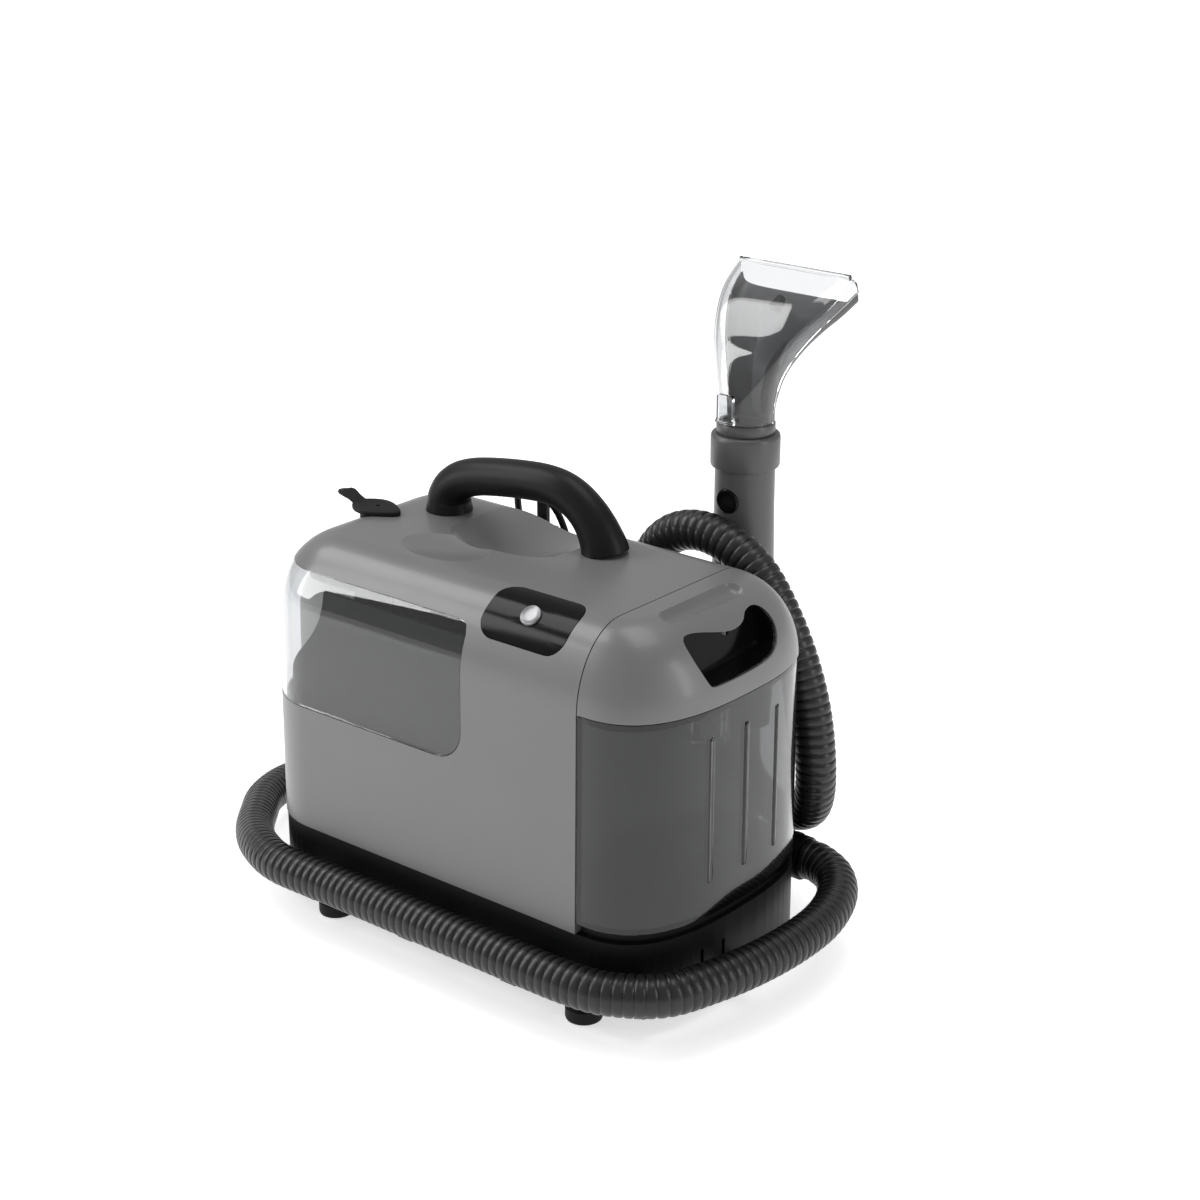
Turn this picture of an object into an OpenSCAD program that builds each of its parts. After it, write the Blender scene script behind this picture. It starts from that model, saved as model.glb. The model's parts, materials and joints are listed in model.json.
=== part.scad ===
// Portable carpet and upholstery cleaner: motor housing with a built-in clean-water tank,
// lift-off dirty-water tank, suction hose, wand and upholstery tool.
// X runs along the machine (dirty tank at +X), Y to the back, Z up, feet on z = 0.

/* [Body] */
// Length of the machine over both ends
body_l = 385; // [370:1:400]
// Depth of the machine at shoulder height
body_d = 208; // [200:1:220]
// Height of the flat top over the floor
top_z = 294; // [288:1:300]
// Radius of the upright corners at the clean-water end
corner_r = 56; // [40:1:60]
// How much wider the walls are at the bottom, each side
draft = 3; // [0:0.5:4]
// Wall thickness of the moulded shells
wall = 3; // [2.5:0.5:4]

/* [Levels] */
// Lower edge of the grey housing
skirt_z = 73; // [70:1:76]
// Sill of the clear window
sill_z = 170; // [160:1:180]
// Upper edge of the clear window
window_top_z = 274; // [270:1:276]
// Joint between the dirty tank and its lid
lid_z = 236; // [230:1:240]
// Underside of the dirty tank
tank_z = 81; // [80:1:84]
// Underside of the base pan, over the floor
pan_z = 13; // [12:1:16]

/* [Dirty tank] */
// Length of the rounded tank at the right end
tank_l = 66; // [60:1:70]
// Squareness of the rounded end, 2 is an ellipse
tank_n = 2.7; // [2.2:0.1:3.2]
// Spacing of the three moulded ribs
rib_gap = 37; // [30:1:40]

/* [Handle] */
// Diameter of the carry handle
grip_d = 29; // [26:1:32]
// Plane of the handle behind the body's middle
handle_y = 33; // [20:1:40]

/* [Hose and wand] */
// Outer diameter of the suction hose
hose_d = 30.5; // [28:0.5:32]
// Diameter of the wand tube
wand_d = 44; // [40:1:46]
// Place of the wand along the machine
wand_x = 68; // [64:1:74]
// Place of the wand behind the body's middle
wand_y = 162; // [160:1:166]
// Width of the tool's mouth
mouth_w = 108; // [100:1:116]

/* [Mains lead] */
// Diameter of the mains lead
lead_d = 5.5; // [5:0.5:6]

/* [Hidden] */
$fn = 48;
e = 0.01;
gap = 0.4;
half_l = body_l / 2;
half_d = body_d / 2;
foot_d = half_d + draft;
seam_x = half_l - tank_l;
shoulder_z = top_z - 60;
shoulder_y = 46;
// the box of the whole machine, cords left out, is centred on the origin
body_x = -12.75;
body_y = -52;

// scoop across the top, which gives the fingers room under the handle
scoop_x = -33;
scoop_w = 98;
scoop_depth = 20;
scoop_r = (scoop_w * scoop_w / 4 + scoop_depth * scoop_depth) / (2 * scoop_depth);
scoop_y = -10;

// feet
foot_x = 123;
foot_y = 92;
foot_r = 13.5;

// screws along the back of the skirt
screws_x = [-120, -75, 30, 76];
screw_z = skirt_z + 14;

// filler plug on the left of the top
plug_x = -156;
plug_y = -4;

// power button on the front shoulder, and the lean of the shoulder there
button_x = 68;
button_y = -81;
button_z = 286;
button_lean = 37;
button_travel = 2.5;

// vacuum motor, upright behind the control panel
motor_x = 74;
motor_y = 12;

// suction port in the wall that the dirty tank docks against
port_y = 12;
port_z = 262;
port_r = 15;
inlet_y = 66;
inlet_z = 205;
float_x = 149;

// wand heights
trigger_z = 311;
collar_z = 334;
collar_h = 26;
tool_z = collar_z + collar_h;

// hose connector low on the rear right corner
conn_x = 160;
conn_y = 123.5;
conn_z = 52;

// mains lead hank on the two cord hooks
hank_x = -105;
hank_y = 118.5;
hank_low = 160;
hank_high = 232;
hank_r = 30;
hank_hole_r = 8;
hank_w = 22;
lead_plug_x = -131;
lead_plug_y = 125.5;

// ---- outlines ----

// point of the rounded tank end at angle a, i inside the outer face
function end_point(a, i) = [
    seam_x + (tank_l - i) * pow(max(0, cos(a)), 2 / tank_n),
    (foot_d - i) * sign(sin(a)) * pow(abs(sin(a)), 2 / tank_n)
];

function arc_points(c, r, from, to, n) =
    [for (k = [0:n]) c + r * [cos(from + (to - from) * k / n), sin(from + (to - from) * k / n)]];

// plan of the housing, square at the seam, i inside the outer face
module housing_plan(i = 0) {
    r = corner_r - i;
    c = half_l - corner_r;
    polygon(concat(
        [[seam_x, -foot_d + i], [seam_x, foot_d - i]],
        arc_points([-c, foot_d - corner_r], r, 90, 180, 12),
        arc_points([-c, -foot_d + corner_r], r, 180, 270, 12)
    ));
}

// plan of the rounded tank, square at the seam
module tank_plan(i = 0) {
    polygon([for (k = [0:32]) end_point(-90 + 180 * k / 32, i)]);
}

// plan of the whole machine
module body_plan(i = 0) {
    r = corner_r - i;
    c = half_l - corner_r;
    polygon(concat(
        [for (k = [0:32]) end_point(-90 + 180 * k / 32, i)],
        arc_points([-c, foot_d - corner_r], r, 90, 180, 12),
        arc_points([-c, -foot_d + corner_r], r, 180, 270, 12)
    ));
}

// a quarter ellipse of n steps, from its side to its top
function shoulder(cx, cz, a, b, n) =
    [for (k = [0:n]) [cx + a * cos(90 * k / n), cz + b * sin(90 * k / n)]];

function mirrored(points) = [for (k = [len(points) - 1:-1:0]) [-points[k][0], points[k][1]]];

// front view of the body, i inside the outer face
module end_view(i = 0, low = 0) {
    side = concat(
        [[foot_d - i, low]],
        shoulder(half_d - shoulder_y, shoulder_z, shoulder_y - i, 60 - i, 14)
    );
    polygon(concat(side, mirrored(side)));
}

// side view of the body, rounded over both ends
module side_view(i = 0, low = 0) {
    right = concat(
        [[half_l - i, low]],
        shoulder(half_l - 50, shoulder_z, 50 - i, 60 - i, 14)
    );
    left = concat(
        [[half_l - i, low]],
        shoulder(half_l - 52, shoulder_z, 52 - i, 60 - i, 14)
    );
    polygon(concat(right, mirrored(left)));
}

// stands a front or side view up and runs it through the machine
module along_x() { translate([-300, 0, 0]) rotate([90, 0, 90]) linear_extrude(600) children(); }
module along_y() { translate([0, 300, 0]) rotate([90, 0, 0]) linear_extrude(600) children(); }

// everything is drawn about the body's middle, and moved to the origin here
module placed() { translate([body_x, body_y, 0]) children(); }

module box(low, high) { translate(low) cube(high - low); }

module rounded_over(i) {
    intersection() {
        children();
        along_x() end_view(i);
        along_y() side_view(i);
    }
}

// the housing as a solid, i inside the outer face
module housing_solid(i = 0) {
    rounded_over(i)
        translate([0, 0, skirt_z - (i > 0 ? 1 : 0)])
            linear_extrude(top_z - skirt_z + 2) housing_plan(i);
}

module scoop_cut(more = 0) {
    translate([scoop_x, scoop_y - more, top_z - scoop_depth + scoop_r])
        rotate([-90, 0, 0]) cylinder(h = 160, r = scoop_r + more, $fn = 96);
}

// the clear window's outline, as seen from the front, g larger than its hole
module window_outline(g = 0) {
    right = 22 + g;
    low = sill_z - g;
    polygon(concat(
        [[-220, window_top_z + g], [-220, low]],
        arc_points([right - 25, low + 25], 25, 270, 360, 8),
        [[right, window_top_z + g]]
    ));
}

module window_block(g = 0) {
    translate([0, 14, 0]) rotate([90, 0, 0]) linear_extrude(140 + g) window_outline(g);
}

// ---- base ----

module pan_solid(i = 0) {
    r = 26;
    low = pan_z + i;
    half = foot_d - 1.5 - i;
    end = half_l - 1.5 - i;
    intersection() {
        translate([0, 0, low]) linear_extrude(skirt_z - low + (i > 0 ? 12 : 0)) body_plan(1.5 + i);
        along_x() polygon(concat(
            arc_points([half - r, low + r], r, 270, 360, 8), [[half, 120], [-half, 120]],
            arc_points([-half + r, low + r], r, 180, 270, 8)
        ));
        along_y() polygon(concat(
            arc_points([end - r, low + r], r, 270, 360, 8), [[end, 120], [-end, 120]],
            arc_points([-end + r, low + r], r, 180, 270, 8)
        ));
    }
}

// a short arm that carries the hose, pointing along -Y
module hose_arm() {
    translate([-7, -124, 25.5]) cube([14, 30, 4.9]);
}

module base_pan() color("#161617") placed() {
    difference() {
        union() {
            pan_solid();
            // raised deck under the dirty tank
            translate([0, 0, skirt_z - e]) linear_extrude(tank_z - skirt_z - gap) intersection() {
                body_plan(6);
                translate([seam_x + 2, -150]) square([100, 300]);
            }
            for (x = [-foot_x, foot_x], y = [-foot_y, foot_y])
                translate([x, y, pan_z - 1]) cylinder(h = 30, r = 12);
            for (x = screws_x) {
                box([x - 6, 93, 50], [x + 6, 103.5, 72]);
                box([x - 6, 93, 60], [x + 6, 102.2, screw_z + 7]);
            }
            for (x = [-120, -20, 80]) translate([x, 0, 0]) hose_arm();
            translate([170, -84, 25.5]) rotate([0, 0, 40]) translate([-7, -22, 0]) cube([14, 32, 4.9]);
            translate([184, -7, 25.5]) cube([34, 14, 4.9]);
        }
        difference() {
            pan_solid(wall);
            box([seam_x - 1, -150, skirt_z - 4], [220, 150, 100]);
            for (x = [-foot_x, foot_x], y = [-foot_y, foot_y])
                translate([x, y, pan_z - 1]) cylinder(h = 30, r = 12);
            for (x = screws_x) box([x - 6, 93, 50], [x + 6, 106, 96]);
        }
        for (x = screws_x) translate([x, 90, screw_z]) rotate([-90, 0, 0])
            cylinder(h = 30, r = 2.03);
        for (x = [-foot_x, foot_x], y = [-foot_y, foot_y])
            translate([x, y, 0]) cylinder(h = 30, r = 1.6);
        // way through to the hose port
        translate([104, 90, conn_z]) rotate([-90, 0, 0]) cylinder(h = 30, r = 11.5);
        translate([104, 80, conn_z]) rotate([-90, 0, 0]) cylinder(h = 21.6, r = 14.2);
        // drain slots at the right end
        for (y = [-44, -22]) translate([170, y, 40]) cube([30, 3, 16]);
    }
}

module rubber_feet() color("#1b1b1b") placed() {
    for (x = [-foot_x, foot_x], y = [-foot_y, foot_y]) translate([x, y, 0]) difference() {
        rotate_extrude() polygon([
            [0, 0], [foot_r - 2, 0], [foot_r - 0.6, 0.7], [foot_r, 2.2],
            [foot_r, pan_z - 3], [foot_r - 2, pan_z - 1], [0, pan_z - 1]
        ]);
        translate([0, 0, -1]) cylinder(h = 30, r = 2.2);
        translate([0, 0, -1]) cylinder(h = 5, r = 4.6);
    }
}

module foot_screws() color("silver") placed() {
    for (x = [-foot_x, foot_x], y = [-foot_y, foot_y]) translate([x, y, 0]) {
        translate([0, 0, 1.8]) difference() {
            cylinder(h = 2.2, r = 4.2);
            translate([0, 0, -1]) cylinder(h = 2, r = 1.8, $fn = 6);
        }
        translate([0, 0, 3.9]) cylinder(h = 20, r = 1.55);
    }
}

// ---- housing ----

module main_housing() color("#7d7d7f") placed() {
    difference() {
        housing_solid();
        difference() {
            housing_solid(wall);
            scoop_cut(wall);
            box([seam_x - wall, -200, 0], [300, 200, 400]);
        }
        scoop_cut();
        window_block(0);
        // hole for the filler neck
        translate([plug_x, plug_y, 240]) cylinder(h = 80, r = 13);
        // seat of the control panel
        panel_block(0.3);
        // docking ports
        translate([seam_x - 10, port_y, port_z]) rotate([0, 90, 0]) cylinder(h = 20, r = port_r);
        translate([seam_x - 10, inlet_y, inlet_z]) rotate([0, 90, 0]) cylinder(h = 20, r = port_r);
        // exhaust opening at the back
        box([-64, 90, 100], [-16, 120, 140]);
        // bolt holes of the handle
        for (x = handle_feet) translate([x, handle_y, 250]) cylinder(h = 80, r = 2.6);
        // screw holes of the skirt
        for (x = screws_x) translate([x, 90, screw_z]) rotate([-90, 0, 0])
            cylinder(h = 30, r = 2.1);
        // hole for the mains lead
        translate([-30, 90, 86]) rotate([-90, 0, 0]) cylinder(h = 30, r = 6.2);
    }
}

module housing_screws() color("silver") placed() {
    for (x = screws_x) translate([x, 106, screw_z]) rotate([90, 0, 0]) {
        cylinder(h = 11, r = 2);
        translate([0, 0, -1.6]) difference() {
            cylinder(h = 1.6, r = 3.6);
            translate([0, 0, -1]) cylinder(h = 2, r = 1.6, $fn = 6);
        }
    }
}

// block that cuts the control panel out of the front shoulder
module panel_block(g = 0) {
    translate([67.5, button_y, button_z]) rotate([button_lean, 0, 0])
        translate([0, 0, -8]) linear_extrude(40) offset(r = 14, $fn = 32)
            square([76 - 28 + 2 * g, 46 - 28 + 2 * g], center = true);
}

module button_axis() {
    translate([button_x, button_y, button_z]) rotate([button_lean, 0, 0]) children();
}

module control_panel() color("#0b0b0c") placed() {
    difference() {
        intersection() {
            housing_solid(0.2);
            panel_block(-0.2);
        }
        housing_solid(wall);
        button_axis() translate([0, 0, -20]) cylinder(h = 40, r = 7.9);
    }
}

module power_button() color("silver") placed() button_axis() {
    translate([0, 0, -4]) cylinder(h = 5.5, r = 7.8);
    translate([0, 0, 1.5 - e]) cylinder(h = 0.8, r1 = 7.8, r2 = 6.8);
    translate([0, 0, -6]) cylinder(h = 2 + e, r = 3);
}

module coil_wire(r, wire, turns, h) {
    steps = turns * 12;
    function at(k) = [
        r * cos(360 * k / 12), r * sin(360 * k / 12), wire + (h - 2 * wire) * k / steps
    ];
    function ring(k) = [for (s = [0:5]) let (a = 60 * s, q = 360 * k / 12)
        at(k) + wire * [cos(a) * cos(q), cos(a) * sin(q), sin(a)]];
    points = [for (k = [0:steps]) each ring(k)];
    polyhedron(points, concat(
        [[for (s = [0:5]) s]],
        [[for (s = [0:5]) steps * 6 + 5 - s]],
        [for (k = [0:steps - 1], s = [0:5]) let (t = (s + 1) % 6)
            [k * 6 + s, (k + 1) * 6 + s, (k + 1) * 6 + t, k * 6 + t]]
    ));
}

module button_spring() color("silver") placed() button_axis() {
    translate([0, 0, -8.6]) coil_wire(4.6, 0.35, 4, 4.5);
}

module power_switch() color("#2a2a2a") placed() button_axis() {
    translate([0, 0, -9.2]) {
        translate([-12, -6.5, -10]) cube([24, 13, 10]);
        for (x = [-12, 9]) translate([x, -4, -e]) cube([3, 8, 4.6]);
    }
}

module circuit_board() color("darkgreen") placed() {
    translate([34, -70, 196]) {
        cube([78, 1.6, 52]);
        translate([6, 1.6 - e, 6]) cube([16, 9, 14]);
        translate([28, 1.6 - e, 8]) cube([12, 12, 26]);
        translate([50, 1.6 - e, 10]) cube([20, 8, 12]);
        for (x = [5, 73], z = [5, 47]) translate([x, e, z]) rotate([90, 0, 0]) cylinder(h = 30, r = 3);
    }
}

// ---- handle ----

// middle line of the handle, from the foot on the left to the foot on the right
HANDLE = [
    [-113, 6], [-113, 10], [-109, 19], [-98, 27.5], [-82, 31.5], [-60, 34.5], [-36, 37.5],
    [-10, 40], [6, 38], [20, 29.5], [31, 19], [38.5, 10], [39, 6]
];
handle_feet = [HANDLE[0][0], HANDLE[len(HANDLE) - 1][0]];

module carry_handle() color("#1a1a1b") placed() translate([0, handle_y, top_z]) {
    difference() {
        union() {
            swept(route([for (p = HANDLE) [p[0], 0, p[1]]], 2), grip_d / 2, 20);
            for (x = handle_feet) handle_foot(x);
        }
        for (x = handle_feet) translate([x, 0, -1]) cylinder(h = 12, r = 2.1);
    }
}

// flared foot of the handle
module handle_foot(x) {
    translate([x, 0, 0.05]) cylinder(h = 3, r = grip_d / 2 + 4.5);
    translate([x, 0, 3]) cylinder(h = 7, r1 = grip_d / 2 + 4.5, r2 = grip_d / 2 - 0.3);
}

module handle_screws() color("silver") placed() {
    for (x = handle_feet) translate([x, handle_y, 0]) {
        translate([0, 0, top_z - wall - 3.3]) cylinder(h = 3.2, r = 5);
        translate([0, 0, top_z - wall - 0.2]) cylinder(h = wall + 11, r = 2.05);
    }
}

// ---- clean water ----

module tank_block(i = 0) {
    intersection() {
        housing_solid(wall + 0.5 + i);
        box([-200, -200, 106 + i], [19 - i, 28 - i, 268 - i]);
    }
}

module clean_tank() color("#8f9aa0", 0.45) placed() {
    difference() {
        union() {
            tank_block();
            intersection() {
                housing_solid(0.1);
                window_block(-gap);
            }
        }
        tank_block(wall);
        translate([plug_x, plug_y, 250]) cylinder(h = 80, r = 11.2);
        translate([-60, 0, 90]) cylinder(h = 40, r = 7);
    }
}

module filler_neck() color("#1a1a1b") placed() translate([plug_x, plug_y, 0]) {
    difference() {
        union() {
            translate([0, 0, 262]) cylinder(h = 31, r = 11.1);
            translate([0, 0, 275]) cylinder(h = 4, r = 12.6);
        }
        translate([0, 0, 200]) cylinder(h = 120, r = 8.6);
    }
}

// rubber flap with a stopper below it and a pull tab at the left
module filler_plug() color("#141414") placed() translate([plug_x, plug_y, 0]) {
    translate([0, 0, 291.4]) cylinder(h = 3, r1 = 7.6, r2 = 8.1);
    translate([0, 0, 294.2]) hull() {
        translate([-6, 0, 0]) cylinder(h = 3.4, r = 16, $fn = 32);
        translate([22, 0, 0]) cylinder(h = 3, r = 5, $fn = 32);
    }
    // round end of the strap, which the flap bends about
    translate([27, 5, 295.9]) rotate([90, 0, 0]) cylinder(h = 10, r = 1.7);
    translate([-18, 0, 295.5]) rotate([0, -18, 0]) hull() {
        translate([2, -6, 0]) cube([4, 12, 2.4]);
        translate([-11, 0, 0]) cylinder(h = 2.4, r = 7, $fn = 32);
    }
}

module inner_frame() color("#242426") placed() {
    difference() {
        intersection() {
            housing_solid(wall + 0.5);
            union() {
                box([-184, -96, 101], [19, 32, 105.9]);
                box([-184, 28.6, 101], [19, 32, 262]);
            }
        }
        translate([-60, 0, 90]) cylinder(h = 40, r = 7.5);
    }
    for (x = [-120, -10], y = [-69, 20]) translate([x, y, pan_z + wall + 0.1])
        cylinder(h = 101 - pan_z - wall, r = 7);
}

module tank_outlet() color("#c9ccd0") placed() translate([-60, 0, 0]) {
    difference() {
        union() {
            translate([0, 0, 88]) cylinder(h = 21.2, r = 6.6);
            translate([0, 0, 96]) cylinder(h = 4.6, r = 11);
            translate([0, 6, 92]) rotate([-90, 0, 0]) cylinder(h = 10, r = 4);
        }
        translate([0, 0, 92]) cylinder(h = 30, r = 4.4);
        translate([0, 0, 92]) rotate([-90, 0, 0]) cylinder(h = 20, r = 2.4);
    }
}

module water_pump() color("#3b3f44") placed() translate([-60, 58, 0]) {
    difference() {
        union() {
            translate([-17, -15, pan_z + wall]) cube([34, 34, 46]);
            translate([0, 0, pan_z + wall + 46 - e]) cylinder(h = 12, r = 11);
            translate([0, 0, pan_z + wall + 58 - 2 * e]) cylinder(h = 26, r = 6);
        }
        translate([0, 0, pan_z + wall + 6]) cylinder(h = 40, r = 5.05);
        translate([0, 0, pan_z + wall + 40]) cylinder(h = 60, r = 2.5);
    }
}

module pump_plunger() color("silver") placed() translate([-60, 58, 0]) {
    translate([0, 0, pan_z + wall + 10]) cylinder(h = 24, r = 5);
}

TANK_TUBE = [
    [-60, 16.1, 92], [-60, 24, 92], [-60, 36, 94], [-60, 47, 103], [-60, 56, 109], [-60, 58, 106],
    [-60, 58, 103], [-60, 58, 100.1]
];
SPRAY_TUBE = [[-42.9, 58, 30], [-40, 58, 30], [-37, 58, 30], [-28, 60, 30], [0, 72, 30], [50, 84, 30], [84, 86, 32], [92, 95, 36]];

module water_tubes() color("#b8c4c8") placed() {
    swept(route(TANK_TUBE, 2), 3, 12);
    swept(route(SPRAY_TUBE, 3), 3, 12);
}

// ---- suction ----

module vacuum_motor() color("#8a8d90") placed() translate([motor_x, motor_y, 0]) {
    difference() {
        union() {
            translate([0, 0, 100]) cylinder(h = 74, r = 36);
            translate([0, 0, 92]) cylinder(h = 8 + e, r = 15);
            translate([0, 0, 174 - e]) cylinder(h = 5, r = 20);
        }
        translate([0, 0, 120]) cylinder(h = 80, r = 4.03);
        for (a = [0:30:330]) rotate([0, 0, a]) translate([30, -3, 110]) cube([10, 6, 52]);
    }
}

module motor_mounts() color("#1f1f20") placed() translate([motor_x, motor_y, 0]) {
    difference() {
        union() {
            translate([0, 0, pan_z + wall]) cylinder(h = 92 - pan_z - wall - 0.1, r = 22);
            translate([0, 0, 92 - 8]) cylinder(h = 16 - 0.2, r = 24);
        }
        translate([0, 0, 91.9]) cylinder(h = 20, r = 15.1);
        translate([0, 0, 60]) cylinder(h = 60, r = 9);
    }
}

module fan_impeller() color("silver") placed() translate([motor_x, motor_y, 0]) {
    translate([0, 0, 130]) cylinder(h = 70, r = 4);
    translate([0, 0, 186]) difference() {
        cylinder(h = 14, r = 38);
        for (a = [0:40:320]) rotate([0, 0, a]) translate([14, -1, 2]) rotate([0, 0, 35]) cube([18, 7, 30]);
    }
}

module fan_shroud() color("#2c2c2e") placed() translate([motor_x, motor_y, 0]) {
    difference() {
        union() {
            translate([0, 0, 179.2]) cylinder(h = 31, r = 43);
            translate([0, 0, 210 - e]) cylinder(h = 14, r = 18);
        }
        translate([0, 0, 183]) cylinder(h = 23, r = 40);
        translate([0, 0, 200]) cylinder(h = 60, r = 14);
        translate([0, 0, 170]) cylinder(h = 20, r = 4.6);
        for (a = [30:60:330]) rotate([0, 0, a]) translate([36, -6, 188]) cube([20, 12, 10]);
    }
}

module suction_duct() color("#2c2c2e") placed() {
    reach = seam_x - wall - 0.1 - motor_x;
    difference() {
        union() {
            translate([motor_x, motor_y, 224]) cylinder(h = 38, r = 18);
            translate([motor_x, motor_y, port_z]) sphere(r = 19.5);
            translate([motor_x, motor_y, port_z]) rotate([0, 90, 0]) cylinder(h = reach, r = 18);
        }
        translate([motor_x, motor_y, 220]) cylinder(h = 42, r = 14);
        translate([motor_x, motor_y, port_z]) sphere(r = 15.5);
        translate([motor_x, motor_y, port_z]) rotate([0, 90, 0]) cylinder(h = 60, r = 14);
    }
}

// riser that carries the dirty water from the hose port to the tank
module intake_duct() color("#2c2c2e") placed() translate([104, inlet_y, 0]) {
    difference() {
        union() {
            translate([0, 0, conn_z]) cylinder(h = inlet_z - conn_z, r = 14);
            translate([0, 0, conn_z]) sphere(r = 15);
            translate([0, 0, conn_z]) rotate([-90, 0, 0]) cylinder(h = 101.4 - inlet_y, r = 14);
            translate([0, 0, inlet_z]) sphere(r = 15);
            translate([0, 0, inlet_z]) rotate([0, 90, 0]) cylinder(h = seam_x - wall - 104.1, r = 14);
        }
        translate([0, 0, conn_z]) cylinder(h = inlet_z - conn_z, r = 11.5);
        translate([0, 0, conn_z]) sphere(r = 12.5);
        translate([0, 0, conn_z]) rotate([-90, 0, 0]) cylinder(h = 60, r = 11.5);
        translate([0, 0, inlet_z]) sphere(r = 12.5);
        translate([0, 0, inlet_z]) rotate([0, 90, 0]) cylinder(h = 60, r = 11.5);
    }
}

module dock_seals() color("#101010") placed() {
    for (p = [[port_y, port_z], [inlet_y, inlet_z]])
        translate([seam_x - wall, p[0], p[1]]) rotate([0, 90, 0]) difference() {
            cylinder(h = wall + 0.2, r = port_r - 0.1);
            translate([0, 0, -1]) cylinder(h = 10, r = port_r - 3);
        }
}

module exhaust_grille() color("#1a1a1b") placed() {
    difference() {
        box([-63.8, 100, 100.2], [-16.2, 105.2, 139.8]);
        for (k = [0:6]) translate([-61 + 6.4 * k, 90, 104]) cube([3.4, 30, 32]);
    }
}

// ---- dirty tank and lid ----

module rib(y) {
    translate([half_l - 5.4, y, tank_z + 24]) cylinder(h = lid_z - tank_z - 44, r = 3.2, $fn = 24);
    translate([half_l - 5.4, y, tank_z + 24]) sphere(r = 3.2, $fn = 24);
    translate([half_l - 5.4, y, lid_z - 20]) sphere(r = 3.2, $fn = 24);
}

module tank_solid(i = 0, low = 0, high = 0) {
    intersection() {
        translate([0, 0, low]) linear_extrude(high - low) tank_plan(i);
        along_x() end_view(i);
        box([seam_x + gap + i, -200, 0], [300, 200, 400]);
    }
}

module dirty_tank() color("#4a4d50", 0.6) placed() {
    difference() {
        union() {
            tank_solid(0.5, tank_z, lid_z);
            for (s = [-1, 0, 1]) intersection() {
                translate([s == 0 ? 0 : -5.2, 0, 0]) rib(s * rib_gap);
                box([150, -60, 0], [half_l, 60, 300]);
            }
        }
        tank_solid(0.5 + wall, tank_z + wall, lid_z + 10);
        translate([seam_x - 10, inlet_y, inlet_z]) rotate([0, 90, 0]) cylinder(h = 20, r = port_r - 1);
    }
}

module lid_solid(i = 0) {
    intersection() {
        translate([0, 0, lid_z + 0.3]) linear_extrude(top_z - lid_z + 5) tank_plan(i);
        along_x() end_view(i);
        along_y() side_view(i);
        box([seam_x + gap + i, -200, 0], [300, 200, 400]);
    }
}

// hand-hold let into the end of the lid
module pocket_block(g = 0) {
    translate([half_l - 22 - g, 0, 263])
        box([0, -42 - g, -17 - g], [60, 42 + g, 17 + g]);
}

module tank_lid() color("#7d7d7f") placed() {
    difference() {
        lid_solid();
        difference() {
            lid_solid(wall);
            pocket_block(wall);
            box([seam_x + 10, -42, top_z - 8], [seam_x + 46, 42, top_z]);
        }
        pocket_block();
        // finger slot in the top
        hull() for (y = [-34, 34]) translate([seam_x + 29, y, top_z - 4]) cylinder(h = 10, r = 8, $fn = 32);
        translate([seam_x - 10, port_y, port_z]) rotate([0, 90, 0]) cylinder(h = 20, r = port_r - 1);
        box([seam_x - 5, -200, lid_z - 5], [300, 200, lid_z + 0.3]);
    }
}

module lid_gasket() color("#101010") placed() {
    difference() {
        tank_solid(0.8 + wall, lid_z - 5, lid_z + 0.3);
        tank_solid(3.2 + wall, lid_z - 6, lid_z + 1);
    }
}

module lid_grip() color("#0c0c0d") placed() {
    difference() {
        translate([half_l - 21.7, 0, 263]) box([0, -41.7, -16.7], [17, 41.7, 16.7]);
        translate([half_l - 20.2, 0, 263]) box([0, -40.2, -15.2], [40, 40.2, 15.2]);
        difference() {
            box([100, -60, 200], [220, 60, 300]);
            lid_solid(2);
        }
    }
}

// cage that hangs from the lid, with the float's seat and the way out to the motor above it
module float_cage() color("#d8dadc", 0.7) placed() translate([float_x, port_y, 0]) {
    difference() {
        union() {
            translate([0, 0, 186]) cylinder(h = 94, r = 15);
            translate([seam_x + gap + wall + 0.2 - float_x, 0, port_z]) rotate([0, 90, 0])
                cylinder(h = float_x - seam_x - wall - 1, r = 14.5);
        }
        translate([0, 0, 189]) cylinder(h = 48, r = 12.5);
        translate([0, 0, 230]) cylinder(h = 46, r = 8);
        translate([-30, 0, port_z]) rotate([0, 90, 0]) cylinder(h = 30, r = 11);
        for (a = [0:60:300]) rotate([0, 0, a]) translate([8, -4, 192]) cube([12, 8, 34]);
    }
}

module shutoff_float() color("#e6e6e0") placed() translate([float_x, port_y, 0]) {
    translate([0, 0, 189.2]) rotate_extrude() polygon([
        [0, 0], [11, 0], [12, 1], [12, 14], [9, 19], [4, 21], [0, 21]
    ]);
}

module inlet_spout() color("#3a3d40") placed() {
    translate([seam_x + gap + 0.5 + wall, inlet_y, inlet_z]) {
        difference() {
            union() {
                rotate([0, 90, 0]) cylinder(h = 16, r = port_r - 1);
                translate([16, 0, 0]) sphere(r = port_r - 1);
                translate([16, 0, -24]) cylinder(h = 24, r = port_r - 1);
            }
            translate([-1, 0, 0]) rotate([0, 90, 0]) cylinder(h = 17, r = port_r - 4);
            translate([16, 0, 0]) sphere(r = port_r - 4);
            translate([16, 0, -25]) cylinder(h = 25, r = port_r - 4);
        }
    }
}

// ---- hose ----

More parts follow.
